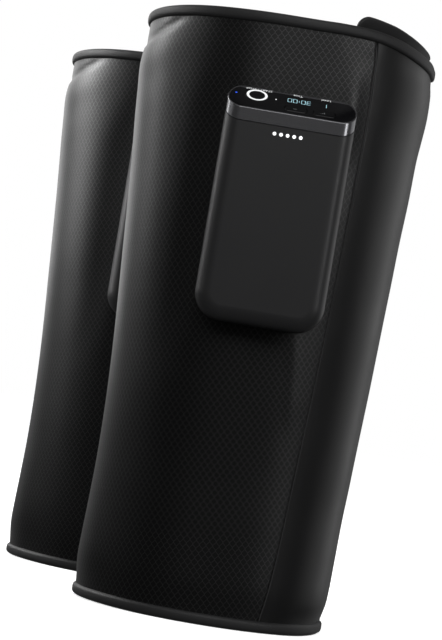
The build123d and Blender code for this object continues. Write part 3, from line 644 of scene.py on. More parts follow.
@dataclass
class Finishes:
    """Every finish of the pair, made once and shared."""

    def __post_init__(self) -> None:
        self.tail = Cloth("tail-knit", colour=(0.0095, 0.0095, 0.0100), roughness=0.55).make()
        self.thread = Cloth("seam-thread", colour=(0.022, 0.022, 0.0225), roughness=0.6, grain=0.0).make()
        # The white print is ink but is given a glow of 0.3: painted brightness, a glow that stands in for light
        # falling on the print.
        self.print = Plain("white-print-painted-glow", (0.78, 0.79, 0.80), roughness=0.5, glow=0.3).make()
        self.faint = Plain("grey-print", (0.16, 0.165, 0.17), roughness=0.5).make()
        self.white_light = Plain("white-light", (1.0, 1.0, 1.0), glow=1.0).make()
        self.cyan_light = Plain("cyan-light", (0.36, 0.60, 0.68), glow=0.9).make()
        self.blue_light = Plain("blue-light", (0.02, 0.08, 0.60), glow=0.6).make()
        self.shared = {slot: finish.make() for slot, finish in {
            "patterned_fabric": HexKnit(),
            "smooth_fabric": Cloth("smooth-knit"),
            "binding_tape": Cloth("binding-tape", colour=(0.0110, 0.0110, 0.0115), roughness=0.55,
                                  grain=0.06 * MM, grain_scale=1500.0),
            "lining_fabric": Cloth("lining-cloth", colour=(0.008, 0.008, 0.0085), roughness=0.75,
                                   grain=0.02 * MM),
            "chamber_film": Plain("chamber-film", (0.05, 0.052, 0.055), roughness=0.35),
            "hook_tape": Pile("hook-tape", tufts=1100.0),
            "loop_tape": Pile("loop-tape", colour=(0.009, 0.009, 0.01), tufts=1700.0),
            "inner_plastic": Plain("inner-plastic", (0.03, 0.03, 0.032), roughness=0.45),
            "gloss_lens": Plain("gloss-lens", (0.003, 0.003, 0.0035), roughness=0.12, specular=0.25),
            "light_guide": Clear(),
            "circuit_board": Board(),
            "battery_wrap": Plain("battery-wrap", (0.012, 0.05, 0.14), roughness=0.4),
            "bright_steel": Plain("bright-steel", (0.55, 0.55, 0.56), roughness=0.28, metallic=1.0),
            "soft_rubber": Plain("soft-rubber", (0.01, 0.01, 0.011), roughness=0.75, grain=0.01 * MM),
        }.items()}

    def by_slot(self, middle: float) -> dict[str, Material]:
        """The finish of each material slot of the record.

        Args:
            middle: place of the pump's middle along X, in metres.

        Returns:
            The materials by slot.
        """
        housing = Plain("soft-touch-housing", (0.0125, 0.0125, 0.0132), roughness=0.41, grain=0.003 * MM,
                        grain_scale=5000.0, middle=middle)
        band = Plain("dark-band", (0.21, 0.21, 0.22), roughness=0.24, metallic=0.9, middle=middle)
        return {**self.shared, "housing": housing.make(), "dark_band": band.make()}


def placed(piece: Piece, material: Material, body: str | None) -> Piece:
    """Gives a piece its finish and the body that it rides on.

    Args:
        piece: the object.
        material: its finish.
        body: the body's name, or None if it is set apart.

    Returns:
        The piece.
    """
    piece.data.materials.clear()
    piece.data.materials.append(material)
    if body:
        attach(piece, body)
    return piece


# ---------------------------------------------------------------- the sleeve's form


@dataclass(frozen=True)
class Fold:
    """A long soft fold. Its height is depth times exp(-(a / width)^2) of the distance a across its line.

    Args:
        line: bearing over height.
        depth: height of its crest, less than 0 for a valley.
        width: half width across its line.
        low: where along its line it has faded out at the start.
        high: where it has faded out at the end.
        fade: length over which it fades.
    """

    line: Line
    depth: float
    width: float
    low: float
    high: float
    fade: float

    def __call__(self, bearing: Array, height: Array) -> Array:
        """Lift of the cloth at a place."""
        across = (bearing - self.line(height)) / self.width
        ends = smooth(height, self.low, self.low + self.fade)
        ends = ends * (1 - smooth(height, self.high - self.fade, self.high))
        return self.depth * np.exp(-(across**2)) * ends


class Tuck(Fold):
    """A short soft fold that runs round the sleeve: Fold with height and bearing exchanged."""

    def __call__(self, bearing: Array, height: Array) -> Array:
        """Lift of the cloth at a place."""
        return super().__call__(height, bearing)


@dataclass(frozen=True)
class SleeveForm:
    """Where the cover's outside lies: a radius over bearing and height, with the cloth's own swells and folds.

    The radius is the drawn outline plus, on either side of the pump, a swell over height that is weighted by a
    smooth hump over bearing, plus the folds. Bearings run from the front towards +X.
    """

    axis: Pair
    height: float = 253.8
    bias: float = 3.7
    outline: Line = Line(((0, 53.6), (6, 53.7), (16, 54.1), (27, 54.063), (40, 53.957), (60, 53.99),
                          (80, 54.392), (100, 55.134), (120, 56.131), (140, 57.294), (160, 58.538),
                          (180, 59.768), (200, 60.887), (215, 61.587), (230, 62.101), (240, 62.305),
                          (248, 62.384), (253.8, 62.4)))
    left_swell: Line = Line(((0, -0.3), (6, -0.2), (16, 0.5), (26, 0.4), (41, 0.0), (61, -0.5), (101, -0.8),
                             (141, -0.5), (181, -0.2), (201, 0.3), (211, 0.7), (221, 1.0), (231, 1.4),
                             (238, 0.8), (243.5, -0.3), (253, -0.4)))
    right_swell: Line = Line(((4, -1.8), (13, -0.5), (31, 0.2), (49, 0.7), (67, 1.4), (102, 1.8),
                              (120, 1.6), (138, 1.2), (156, 0.8), (174, 0.3), (192, 0.2), (210, -0.2),
                              (219, 0.2), (229, 0.7), (240, 0.3), (246, -0.6)))
    neck_rise: Line = Line(((-110, 0.0), (-87, 0.0), (-68, 2.2), (-55, 5.0), (-40, 8.0)))
    seam: Line = Line(((0, 28.2), (4.5, 28.9), (20, 31.4), (39, 33.4), (80, 35.8), (127, 37.0), (222, 35.8),
                       (232.5, 35.2), (243, 34.9), (253.8, 33.6)))
    rim: Line = Line(((-180, 251.2), (-100, 251.8), (-84, 252.1), (-60, 252.1), (-38, 251.8), (-17, 251.4),
                      (1, 251.3), (10, 251.5), (20, 252.1), (33, 252.5), (45, 251.8), (60, 250.2),
                      (75, 249.4), (98, 249.2), (125, 250.6), (180, 251.2)))
    foot: Line = Line(((-180, 2.6), (-100, 2.7), (-76, 2.8), (-50, 2.8), (-23, 2.6), (180, 2.6)))
    folds: tuple[Fold, ...] = (
        Fold(Line(((25, -50), (51, -47), (86, -39), (117, -31), (151, -29), (184, -28), (210, -27), (231, -23),
                   (244, -24))), -0.95, 8.5, 90.0, 252.0, 60.0),
        Fold(Line(((88, 27), (100, 26), (113, 24), (122, 23))), 0.3, 3.2, 82.0, 130.0, 14.0),
        Fold(Line(((195, 29), (245, 26))), 0.7, 4.5, 190.0, 247.0, 22.0),
        Tuck(Line(((-14, 217), (30, 217))), 0.5, 15.0, -26.0, 36.0, 9.0),
        Tuck(Line(((22, 248.0), (34, 247.2))), -0.3, 3.2, 18.0, 38.5, 6.0),
        Tuck(Line(((-80, 241), (-68.6, 242.3), (-61, 244.3), (-54.7, 246.2), (-45, 249))),
             -0.9, 1.7, -96.0, -42.0, 14.0),
    )

    def radius(self, bearing: Array, height: Array) -> Array:
        """Radius of the cover's outside.

        Args:
            bearing: degrees, from the front towards +X, from -180 to 180 at the least.
            height: millimetres above the floor.

        Returns:
            The radius in millimetres.
        """
        bearing = (bearing + 180) % 360 - 180
        on_left = smooth(-bearing, 30, 75) * (1 - smooth(-bearing, 125, 175))
        on_right = smooth(bearing, 34, 74) * (1 - smooth(bearing, 125, 170))
        neck = height - self.neck_rise(bearing)
        swell = on_left * self.left_swell(neck) + on_right * self.right_swell(height)
        return self.outline(height) + swell + sum(fold(bearing, height) for fold in self.folds)

    def point(self, bearing: Array, radius: Array, height: Array) -> Array:
        """Place in the frame, in millimetres.

        Args:
            bearing: degrees.
            radius: distance from the sleeve's axis.
            height: above the floor.

        Returns:
            The points, with the coordinates last.
        """
        bearing, radius, height = np.broadcast_arrays(np.radians(bearing), radius, height)
        x, y = self.axis[0] + radius * np.sin(bearing), self.axis[1] - radius * np.cos(bearing)
        return np.stack([x, y, height], -1)

    def flat(self, bearing: Array, height: Array) -> Array:
        """Place on the flat cloth, in millimetres: arc length and height, turned by the cloth's bias."""
        bearing, height = np.broadcast_arrays(bearing, height)
        arc, turn = np.radians(bearing - 360) * self.outline(height), radians(self.bias)
        return np.stack([arc * cos(turn) + height * sin(turn), height * cos(turn) - arc * sin(turn)], -1)


@dataclass(frozen=True)
class FlapForm:
    """Where the closure flap lies: on the cover at the seam, then out over the cover's end.

    Its outside stands off the sleeve's radius by lift, over bearing. From tab_start on, the flap narrows to
    a tab with round corners.
    """

    sleeve: SleeveForm
    lift: Line = Line(((34, 0.0), (60, 0.1), (86, 0.8), (99, 2.9), (120, 3.3), (150, 3.2)))
    end: float = 150.0
    thickness: float = 2.0
    low: float = 2.4
    tab_start: float = 98.0
    tab_inset: float = 8.0
    tab_run: float = 5.0
    corner: float = 9.0
    edge_rise: float = 0.6
    seam_gap: float = 0.12

    def radius(self, bearing: Array, height: Array) -> Array:
        """Radius of the flap's outside at a bearing and height."""
        return self.sleeve.radius(bearing, height) + self.lift(bearing)

    def bearings(self, height: Array, share: Array) -> Array:
        """Bearing at a share of the way from the seam to the flap's end."""
        start = self.sleeve.seam(height) + self.seam_gap
        return start + (self.end - start) * share


# ---------------------------------------------------------------- the sleeve's pieces


@dataclass
class Sleeve:
    """The textile part of one unit.

    Args:
        unit: which sleeve.
        form: where its cover lies.
        finishes: the shared finishes.
    """

    unit: Unit
    form: SleeveForm
    finishes: Finishes
    cover_start: float = 100.0
    cover_thickness: float = 1.2
    ply_low: float = 1.95
    window: Pair = (26.0, 44.0)
    window_centre: Pair = (4.2, 168.3)
    lining_depth: float = 4.4
    lining_thickness: float = 1.0
    chamber_depth: float = 1.5
    chamber_thickness: float = 2.6
    chamber_heights: tuple[Pair, ...] = ((11.0, 91.0), (94.5, 175.8), (179.3, 242.8))
    chamber_margin: float = 10.0
    rim_height: float = 5.2
    rim_power: float = 3.2
    rim_out: float = 1.35
    wall: float = 5.4
    tail_out: Line = Line(((27, 6.9), (42, 6.2), (60, 3.9), (75, 2.1), (84, 1.0), (90, 1.6), (97, 5.2),
                           (103, 6.9)))
    tail_top: Line = Line(((27, 261.4), (36, 261.5), (42.5, 261.2), (50, 260.6), (60, 259.1), (72, 257.5),
                           (86, 256.0), (107, 254.5)))
    tail_thickness: float = 2.5
    tail_bearings: Pair = (28.3, 107.0)
    tail_low: float = 4.0
    tail_corner: float = 6.0
    tail_tuck: float = 2.6
    tail_radius: float = 55.0
    tuck_start: Pair = (1.8, 4.4)
    tuck_end: Pair = (10.0, 22.0)
    hinge_bearing: float = 36.5
    hinge_height: float = 127.0
    hinge_reach: float = 12.0
    thread_sides: int = 10
    thread_across: float = 0.22
    thread_deep: float = 0.15
    thread_shift: float = 0.06
    cloth_radius: float = 57.5
    cloth_end: float = 36.0
    patch_thickness: float = 0.5
    loop_bearings: Pair = (104.5, 152.5)
    loop_heights: Pair = (22.2, 231.6)
    loop_out: float = 0.12
    hook_bearings: Pair = (112.0, 145.0)
    hook_heights: Pair = (30.0, 223.8)

    def name(self, piece: str) -> str:
        """Name of a piece of this unit."""
        return f"{self.unit.value}_{piece}"

    def wrap(self, columns: int, rows: int, depth: float, low: float, high: float) -> Skin:
        """A ply of the wrap at a depth below the cover's outside, from the cover's end round to the seam.

        Args:
            columns: points round the sleeve.
            rows: points up it.
            depth: below the cover's outside.
            low: height of its lower edge.
            high: height of its upper edge.

        Returns:
            The ply's outer surface.
        """
        share, height = lattice(shares(columns), np.linspace(low, high, rows))
        bearing = self.cover_start + (360 + self.form.seam(height) - self.cover_start) * share
        radius = self.form.radius(bearing, height) - depth
        return Skin.grid(self.form.point(bearing, radius, height), self.form.flat(bearing, height))

    def sheeted(self, piece: Piece, thickness: float) -> Piece:
        """Gives a cloth its thickness, inward from its outer surface."""
        solid = piece.modifiers.new("thickness", "SOLIDIFY")
        solid.thickness = thickness * MM
        solid.offset = -1.0
        return piece

    def dressed(self, piece: Piece, slot: str, body: Body | None, node: str,
                finish: Material | None = None) -> Piece:
        """Gives a piece its finish, slot and body, and the CAD node that it replaces.

        Args:
            piece: the object.
            slot: the record's material slot.
            body: what it rides on, or None for a piece between two bodies, which is attached to neither.
            node: the CAD node without the unit's name.
            finish: its material, or None for the slot's own.

        Returns:
            The piece.
        """
        placed(piece, finish or self.finishes.shared[slot], body.of(self.unit) if body else None)
        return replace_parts(piece, self.name(node))

    def build_cover(self) -> Piece:
        """Patterned cover with the opening under the pump."""
        top = self.form.height - self.ply_low
        skin = self.wrap(270, 150, 0.0, self.ply_low, top)
        middle_x = self.form.axis[0] + self.window_centre[0]

        def in_window(middles: Array) -> Array:
            across = np.abs(middles[:, 0] - middle_x) < self.window[0] / 2
            up = np.abs(middles[:, 2] - self.window_centre[1]) < self.window[1] / 2
            return across & up & (middles[:, 1] < self.form.axis[1])

        cover = skin.without(in_window).build(self.name("cover_cloth"))
        self.sheeted(cover, self.cover_thickness)
        return self.dressed(cover, "patterned_fabric", Body.ROOT, "outer_cover")

    def build_lining(self) -> Piece:
        """Skin-side lining."""
        top = self.form.height - self.ply_low
        lining = self.wrap(150, 64, self.lining_depth, self.ply_low, top).build(self.name("lining_cloth"))
        self.sheeted(lining, self.lining_thickness)
        return self.dressed(lining, "lining_fabric", Body.ROOT, "inner_lining")

    def build_chambers(self) -> Piece:
        """Three air chambers, each a pillow.

        Its half thickness goes as the fourth root of 1 - s^2 over its height, with s from -1 to 1, and as the
        square root of 1 - e^40 over its length, with e from -1 to 1.
        """
        pillows = []
        for low, high in self.chamber_heights:
            share, turn = lattice(shares(120), full_turn(48))
            height = (low + high) / 2 + (high - low) / 2 * np.cos(turn)
            margin = self.chamber_margin
            run = 360 - margin + self.form.seam(height) - self.cover_start - margin
            bearing = self.cover_start + margin + run * share
            ends = np.clip(1 - (2 * share - 1) ** 40, 0, 1) ** 0.5
            half = self.chamber_thickness / 2 * signed_power(np.sin(turn), 0.5) * ends
            middle = self.form.radius(bearing, height) - self.chamber_depth - self.chamber_thickness / 2
            pillow = Skin.grid(self.form.point(bearing, middle + half, height), ring=True)
            pillows.append(pillow.turned_over())
        chambers = Skin.joined(*pillows).build(self.name("chamber_pillows"), weld=True)
        return self.dressed(chambers, "chamber_film", Body.ROOT, "air_chambers")

    def tape(self, bearing: Array, outer: Array, width: Array, middle: Array) -> Skin:
        """A rim of folded tape along the sleeve's edge.

        Its section is a rounded box, |x / a|^3.2 + |y / b|^3.2 = 1, and it closes in a round tip at both ends.

        Args:
            bearing: bearings along it.
            outer: radius of its outside at each bearing.
            width: across the wall at each bearing.
            middle: height of its middle at each bearing.

        Returns:
            The closed surface.
        """
        turn = full_turn(40)
        across = signed_power(np.cos(turn), 2 / self.rim_power) / 2
        up = signed_power(np.sin(turn), 2 / self.rim_power) * self.rim_height / 2
        tip = np.linspace(0, pi / 2, 7)
        reach = np.degrees(self.rim_height / 2 / outer.mean())
        before, after = bearing[0] - reach * np.cos(tip[:-1]), bearing[-1] + reach * np.sin(tip[1:])
        size = np.concatenate([np.sin(tip[:-1]), np.ones(len(bearing)), np.cos(tip[1:])])
        along = np.concatenate([before, bearing, after])
        centre, height, wide = (
            np.pad(x, len(tip) - 1, mode="edge")[:, None] for x in (outer - width / 2, middle, width))
        radius = centre + across[None] * wide * size[:, None]
        height = height + up[None] * size[:, None]
        return Skin.grid(self.form.point(along[:, None], radius, height), ring=True)

    def rim_middle(self, bearing: Array, top: bool) -> Array:
        """Height of a rim's middle round the sleeve."""
        line = self.form.rim if top else self.form.foot
        return line((bearing + 180) % 360 - 180)

    def build_rims(self) -> Piece:
        """Bound rims of the cover, top and bottom."""
        rims = []
        for top in (False, True):
            height = self.form.height if top else 0.0
            bearing = np.linspace(self.cover_start + 2, 360 + float(self.form.seam(height)), 260)
            outer = self.form.radius(bearing, np.full_like(bearing, height)) + self.rim_out
            width = np.full_like(bearing, self.wall + 2 * self.rim_out)
            rims.append(self.tape(bearing, outer, width, self.rim_middle(bearing, top)))
        piece = Skin.joined(*rims).build(self.name("cover_rims"), weld=True)
        return self.dressed(piece, "binding_tape", Body.ROOT, "edge_bindings")

    def build_tail(self) -> Piece:
        """Tail of the wrap inside the closure: a thick cloth with round edges and a round free corner."""
        start, end = self.tail_bearings
        lines = shares(90)
        bearing = start + (end - start) * (1 - np.cos(pi * lines)) / 2
        inward = np.radians(bearing - start) * self.tail_radius
        corner = self.tail_corner
        drop = corner - np.sqrt(np.clip(corner**2 - np.clip(corner - inward, 0, None) ** 2, 0, None))
        outward = np.radians(end - bearing) * self.tail_radius
        edge = np.clip(np.minimum(inward, outward) / (self.tail_thickness / 2), 0, 1)
        half = self.tail_thickness / 2 * np.sqrt(np.clip(1 - (1 - edge) ** 2, 0, 1))
        top = self.tail_top(bearing) - drop
        cap, ones = np.linspace(0, pi, 9)[1:-1], np.ones(len(lines))
        side = np.concatenate([ones, np.cos(cap), -ones, -np.cos(cap)])
        share = np.concatenate([lines, np.ones(len(cap)), lines[::-1], np.zeros(len(cap))])
        bulge = np.concatenate([0 * ones, np.sin(cap), 0 * ones, -np.sin(cap)])
        low = self.tail_low + half
        height = low[:, None] + (top - half - low)[:, None] * share[None] + bulge[None] * half[:, None]
        middle = self.form.outline(height) - self.tail_out(bearing)[:, None] - self.tail_thickness / 2
        below = top[:, None] - height
        tuck = self.tail_tuck * smooth(below, *self.tuck_start) * (1 - smooth(below, *self.tuck_end))
        middle = middle - tuck
        radius = middle + side[None] * half[:, None]
        skin = Skin.grid(self.form.point(bearing[:, None], radius, height), ring=True)
        tail = skin.build(self.name("tail_cloth"), weld=True)
        return self.dressed(tail, "smooth_fabric", Body.ROOT, "under_flap", self.finishes.tail)

    def build_flap(self, form: FlapForm) -> Piece:
        """Smooth closure flap, full height as far as the tab."""
        share, up = lattice(shares(130), shares(130))
        rough = form.low + up * (self.form.height - 2 * form.low)
        bearing = form.bearings(rough, share)
        inset = form.tab_inset * smooth(bearing, form.tab_start, form.tab_start + form.tab_run)
        inset = inset + form.corner * smooth(bearing, form.end - form.corner, form.end) ** 2
        edge = self.form.rim(bearing) + form.edge_rise
        height = form.low + inset + up * (edge - form.low - 2 * inset)
        points = self.form.point(bearing, form.radius(bearing, height), height)
        flap = Skin.grid(points, self.form.flat(bearing, height)).build(self.name("flap_cloth"))
        self.sheeted(flap, form.thickness)
        self.dressed(flap, "smooth_fabric", None, "closure_flap")
        return self.hinged(flap)

    def patch(self, name: str, bearings: Pair, heights: Pair,
              radius: Callable[[Array, Array], Array]) -> Piece:
        """A patch of fastener tape.

        Args:
            name: of the new piece.
            bearings: of its two sides.
            heights: of its lower and upper edge.
            radius: of its outside, over bearing and height.

        Returns:
            The piece.
        """
        bearing, height = lattice(np.linspace(*bearings, 40), np.linspace(*heights, 90))
        points = self.form.point(bearing, radius(bearing, height), height)
        made = Skin.grid(points, self.form.flat(bearing, height)).build(self.name(name))
        return self.sheeted(made, self.patch_thickness)

    def build_loop_patch(self) -> Piece:
        """Loop fastener on the cover, under the flap's tab."""
        loop = self.patch("loop_tape", self.loop_bearings, self.loop_heights,
                          lambda bearing, height: self.form.radius(bearing, height) + self.loop_out)
        return self.dressed(loop, "loop_tape", Body.ROOT, "loop_patch")

    def build_hook_patch(self, form: FlapForm) -> Piece:
        """Hook fastener on the inside of the flap's tab."""
        hook = self.patch("hook_tape", self.hook_bearings, self.hook_heights,
                          lambda bearing, height: form.radius(bearing, height) - form.thickness)
        return self.dressed(hook, "hook_tape", Body.FLAP, "hook_patch")

    def build_flap_rims(self, form: FlapForm) -> Piece:
        """Bound rims of the flap's full-height part: as deep as the cover's at the seam, then thinner."""
        rims = []
        for top in (False, True):
            height = self.form.height if top else 0.0
            bearing = np.linspace(float(self.form.seam(height)) - 2.0, form.tab_start - 1.5, 90)
            past = smooth(bearing, bearing[0], bearing[0] + 5.0)
            outer = form.radius(bearing, np.full_like(bearing, height)) + self.rim_out + 0.2 * past - 0.15
            deeper = (self.wall - form.thickness) * (1 - smooth(bearing, 35, 52))
            width = form.thickness + 2 * self.rim_out + deeper
            rims.append(self.tape(bearing, outer, width, self.rim_middle(bearing, top)))
        piece = Skin.joined(*rims).build(self.name("flap_rims"), weld=True)
        self.dressed(piece, "binding_tape", None, "flap_bindings")
        return self.hinged(piece)

    def hinged(self, piece: Piece) -> Piece:
        """Bakes a piece's placement into its mesh; the hinge line at the seam is worked out and handed on, but
        nothing bends the piece along it.
        """
        seam, height = self.hinge_bearing, self.hinge_height
        start = self.form.point(seam - 0.5, self.form.outline(height), height) * MM
        along = np.array([cos(radians(seam)), sin(radians(seam)), 0.0]) * self.hinge_reach * MM
        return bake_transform(piece, Body.ROOT.of(self.unit), Body.FLAP.of(self.unit),
                        tuple(start), tuple(start + along))

    def build_seam(self) -> Piece:
        """Stitched seam between cover and flap: a thin half-round line of thread."""
        height = np.linspace(self.rim_height - 0.5, self.form.height - self.rim_height, 240)
        turn = full_turn(self.thread_sides)
        aside = np.degrees(self.thread_across * np.cos(turn) / 58.0)[None]
        bearing = self.form.seam(height)[:, None] + self.thread_shift + aside
        outside = self.form.radius(bearing, np.repeat(height[:, None], self.thread_sides, 1))
        radius = outside - self.thread_shift + self.thread_deep * np.sin(turn)[None]
        skin = Skin.grid(self.form.point(bearing, radius, height[:, None]), ring=True)
        seam = skin.build(self.name("seam_thread"))
        return placed(seam, self.finishes.thread, Body.ROOT.of(self.unit))

    def build(self) -> list[Piece]:
        """Builds every textile piece.

        Returns:
            The pieces.
        """
        flap_form = FlapForm(self.form)
        cover, lining, rims = self.build_cover(), self.build_lining(), self.build_rims()
        flap, flap_rims, tail = self.build_flap(flap_form), self.build_flap_rims(flap_form), self.build_tail()
        loop, hook = self.build_loop_patch(), self.build_hook_patch(flap_form)
        chambers, seam = self.build_chambers(), self.build_seam()
        return [cover, lining, rims, flap, flap_rims, tail, loop, hook, chambers, seam]


# ---------------------------------------------------------------- the pump's marks


@dataclass(frozen=True)
class PumpFrame:
    """The pump's place on its sleeve, and the place of the slanted control face on the pump."""

    axis: Pair
    centre_x: float = 4.2
    wall_radius: float = 58.84
    middle: float = 168.3
    lean: float = 2.014
    depth: float = 15.0
    edge_y: float = 43.6
    slant: float = 35.5

    def matrix(self) -> Matrix:
        """Pump frame to the row frame, in millimetres: x across, y up along the pump, z out of its front."""
        c, s = cos(radians(self.lean)), sin(radians(self.lean))
        return Matrix((
            (1, 0, 0, self.axis[0] + self.centre_x),
            (0, -s, -c, self.axis[1] - self.wall_radius),
            (0, c, -s, self.middle),
            (0, 0, 0, 1),
        ))

    def face(self) -> Matrix:
        """Control face's frame to the row frame: x across, y up the slope, z out of the face."""
        rise, run = sin(radians(self.slant)), cos(radians(self.slant))
        return self.matrix() @ Matrix((
            (1, 0, 0, 0),
            (0, rise, run, self.edge_y),
            (0, -run, rise, self.depth),
            (0, 0, 0, 1),
        ))


@dataclass
class Marks:
    """Print and lights of one pump, each a thin layer that rides on the piece that it is printed on.

    Args:
        unit: which sleeve.
        place: the pump's place.
        finishes: the shared finishes.
    """

    unit: Unit
    place: PumpFrame
    finishes: Finishes
    layer: float = 0.03
    proud: float = 0.18
    ring_radius: float = 4.35
    ring_width: float = 1.05
    light_drop: float = 3.3
    light_pitch: float = 2.7
    light_radius: float = 0.66
    seam_y: float = 38.2
    icon_width: float = 0.25

    def put(self, skin: Skin, name: str, matrix: Matrix, body: Body, material: Material) -> Piece:
        """Builds a mark from points in its own frame.

        Args:
            skin: the mark's faces.
            name: its name without the unit's.
            matrix: its frame to the row frame.
            body: what it rides on.
            material: its finish.

        Returns:
            The piece.
        """
        turn = np.array(matrix)
        skin.points = skin.points @ turn[:3, :3].T + turn[:3, 3]
        return placed(skin.build(f"{self.unit.value}_{name}"), material, body.of(self.unit))

    def ring(self, centre: Pair, outer: float, inner: float, height: float) -> Skin:
        """A flat ring or, with inner 0, a disc: radii along rows and a turn along columns."""
        radius, turn = lattice(np.array([outer, max(inner, 1e-3)]), full_turn(64))
        x, y = centre[0] + radius * np.cos(turn), centre[1] + radius * np.sin(turn)
        return Skin.grid(np.stack([x, y, np.full_like(turn, height)], -1), ring=True)

    def bar(self, start: Pair, end: Pair, width: float, height: float) -> Skin:
        """A flat bar with pointed ends from start to end."""
        a, b = np.array(start, float), np.array(end, float)
        along = (b - a) / np.linalg.norm(b - a)
        side = np.array([-along[1], along[0]]) * width / 2
        tip = along * width / 2
        left = [a, a + tip + side, b - tip + side, b]
        right = [a, a + tip - side, b - tip - side, b]
        points = np.array([[(*p, height) for p in left], [(*p, height) for p in right]])
        return Skin.grid(points)

    def digits(self, text: str, centre: Pair, size: Pair, height: float) -> Skin:
        """Seven-bar digits and colons, turned half round so that the wearer reads them.

        Args:
            text: digits and colons.
            centre: middle of the row on the face.
            size: width of a digit and its height.
            height: above the face.

        Returns:
            All bars as one surface.
        """
        bars = {"0": "abcdef", "1": "bc", "3": "abgcd"}
        w, h = size
        ends = {"a": ((0, h), (w, h)), "b": ((w, h), (w, h / 2)), "c": ((w, h / 2), (w, 0)),
                "d": ((0, 0), (w, 0)), "e": ((0, h / 2), (0, 0)), "f": ((0, h), (0, h / 2)),
                "g": ((0, h / 2), (w, h / 2))}
        colon_step, digit_step, gap, bar_width, dot = w * 0.75, w * 1.45, w * 0.45, w * 0.11, 0.22
        total = sum(colon_step if char == ":" else digit_step for char in text) - gap
        found, x = [], -total / 2
        for char in text:
            if char == ":":
                at = x + w * 0.15
                found += [self.bar((at - dot, h * up), (at + dot, h * up), 2 * dot, height) for up in (0.3, 0.7)]
                x += colon_step
            else:
                found += [self.bar((x + start[0], start[1]), (x + end[0], end[1]), bar_width, height)
                          for start, end in (ends[key] for key in bars[char])]
                x += digit_step
        skin = Skin.joined(*found)
        skin.points[:, 0] = centre[0] - skin.points[:, 0]
        skin.points[:, 1] = centre[1] + h / 2 - skin.points[:, 1]
        return skin

    def label(self, text: str, centre: Pair, size: float, name: str, material: Material) -> Piece:
        """A word on the face, turned half round so that the wearer reads it.

        Args:
            text: the word.
            centre: its middle on the face.
            size: height of its letters' line.
            name: the piece's name.
            material: its finish.

        Returns:
            The piece.
        """
        curve = bpy.data.curves.new(name, "FONT")
        curve.body, curve.size, curve.align_x, curve.align_y = text, size, "CENTER", "CENTER"
        writer = bpy.data.objects.new(name, curve)
        bpy.context.scene.collection.objects.link(writer)
        bpy.context.view_layer.update()
        mesh = bpy.data.meshes.new_from_object(writer.evaluated_get(bpy.context.evaluated_depsgraph_get()))
        bpy.data.objects.remove(writer)
        mesh.name = f"{self.unit.value}_{name}"
        local = Matrix.Translation((*centre, self.layer)) @ Matrix.Rotation(pi, 4, "Z")
        mesh.transform(Matrix.Scale(MM, 4) @ self.place.face() @ local)
        piece = bpy.data.objects.new(mesh.name, mesh)
        bpy.context.scene.collection.objects.link(piece)
        return placed(piece, material, Body.ROOT.of(self.unit))

    def build(self) -> list[Piece]:
        """Builds every mark.

        Returns:
            The pieces.
        """
        face, front, look = self.place.face(), self.place.matrix(), self.finishes
        ring = self.ring((-14.9, 10.9), self.ring_radius, self.ring_radius - self.ring_width, self.proud)
        dots = Skin.joined(*(
            self.ring((self.light_pitch * i, self.seam_y - self.light_drop), self.light_radius, 0.0,
                      self.place.depth + self.layer) for i in range(-2, 3)))
        dash = self.bar((0.4, 4.7), (2.0, 4.7), self.icon_width, self.proud)
        rise = Skin.joined(*(
            self.bar((12.0 + 0.7 * i, 4.4), (12.0 + 0.7 * i, 4.7 + 0.45 * i), self.icon_width, self.proud)
            for i in range(3)))
        link = self.ring((-23.5, 10.6), 0.45, 0.0, self.layer)
        small = self.ring((-7.0, 10.2), 0.35, 0.0, self.layer)
        time, level = (self.digits(text, (x, 11.3), (1.55, 2.7), self.layer)
                       for text, x in (("30:00", 2.6), ("1", 14.6)))
        # The start ring, small dot and labels take the white print, whose glow is painted brightness; the
        # battery dots, link dot and digits are the pump's own lights.
        made = [self.put(*mark) for mark in (
            (ring, "start_ring", face, Body.START, look.print),
            (dots, "battery_dots", front, Body.ROOT, look.white_light),
            (dash, "time_icon", face, Body.TIME, look.faint),
            (rise, "level_icon", face, Body.LEVEL, look.faint),
            (link, "link_dot", face, Body.ROOT, look.blue_light),
            (small, "small_dot", face, Body.ROOT, look.print),
            (time, "time_digits", face, Body.ROOT, look.cyan_light),
            (level, "level_digit", face, Body.ROOT, look.cyan_light),
        )]
        for text, centre, size, name in (("START / STOP", (-14.4, 15.9), 1.75, "start_label"),
                                         ("Time", (1.8, 15.9), 1.9, "time_label"),
                                         ("Level", (13.5, 15.9), 1.9, "level_label")):
            made.append(self.label(text, centre, size, name, look.print))
        return made


# ---------------------------------------------------------------- one unit


@dataclass
class SleeveUnit:
    """One sleeve with its pump."""

    unit: Unit
    finishes: Finishes

    def axis(self) -> Pair:
        """The sleeve's axis in millimetres, from the box of its rims."""
        low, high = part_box(f"{self.unit.value}_edge_bindings")
        return (low.x + (high.y - low.y) / 2) / MM, (low.y + high.y) / 2 / MM

    def paint(self) -> int:
        """Gives every CAD node of the unit the finish of its slot.

        Returns:
            How many nodes were painted.
        """
        materials = self.finishes.by_slot((self.axis()[0] + PumpFrame.centre_x) * MM)
        slots = {part["node"]: part["material_slot"] for part in frame["record"]["subparts"]}
        mine = [name for name in frame["nodes"] if name.startswith(self.unit.value)]
        for name in mine:
            piece = frame["nodes"][name]
            piece.data.materials.clear()
            piece.data.materials.append(materials[slots[name]])
        return len(mine)

    def build(self) -> None:
        """Builds the unit."""
        axis = self.axis()
        LOG.info("%s: %d CAD nodes painted, axis %.2f %.2f mm", self.unit.value, self.paint(), *axis)
        for piece in Sleeve(self.unit, SleeveForm(axis), self.finishes).build():
            LOG.info("%s: %d points", piece.name, len(piece.data.vertices))
        for piece in Marks(self.unit, PumpFrame(axis), self.finishes).build():
            LOG.info("%s: %d points", piece.name, len(piece.data.vertices))


# ---------------------------------------------------------------- studio


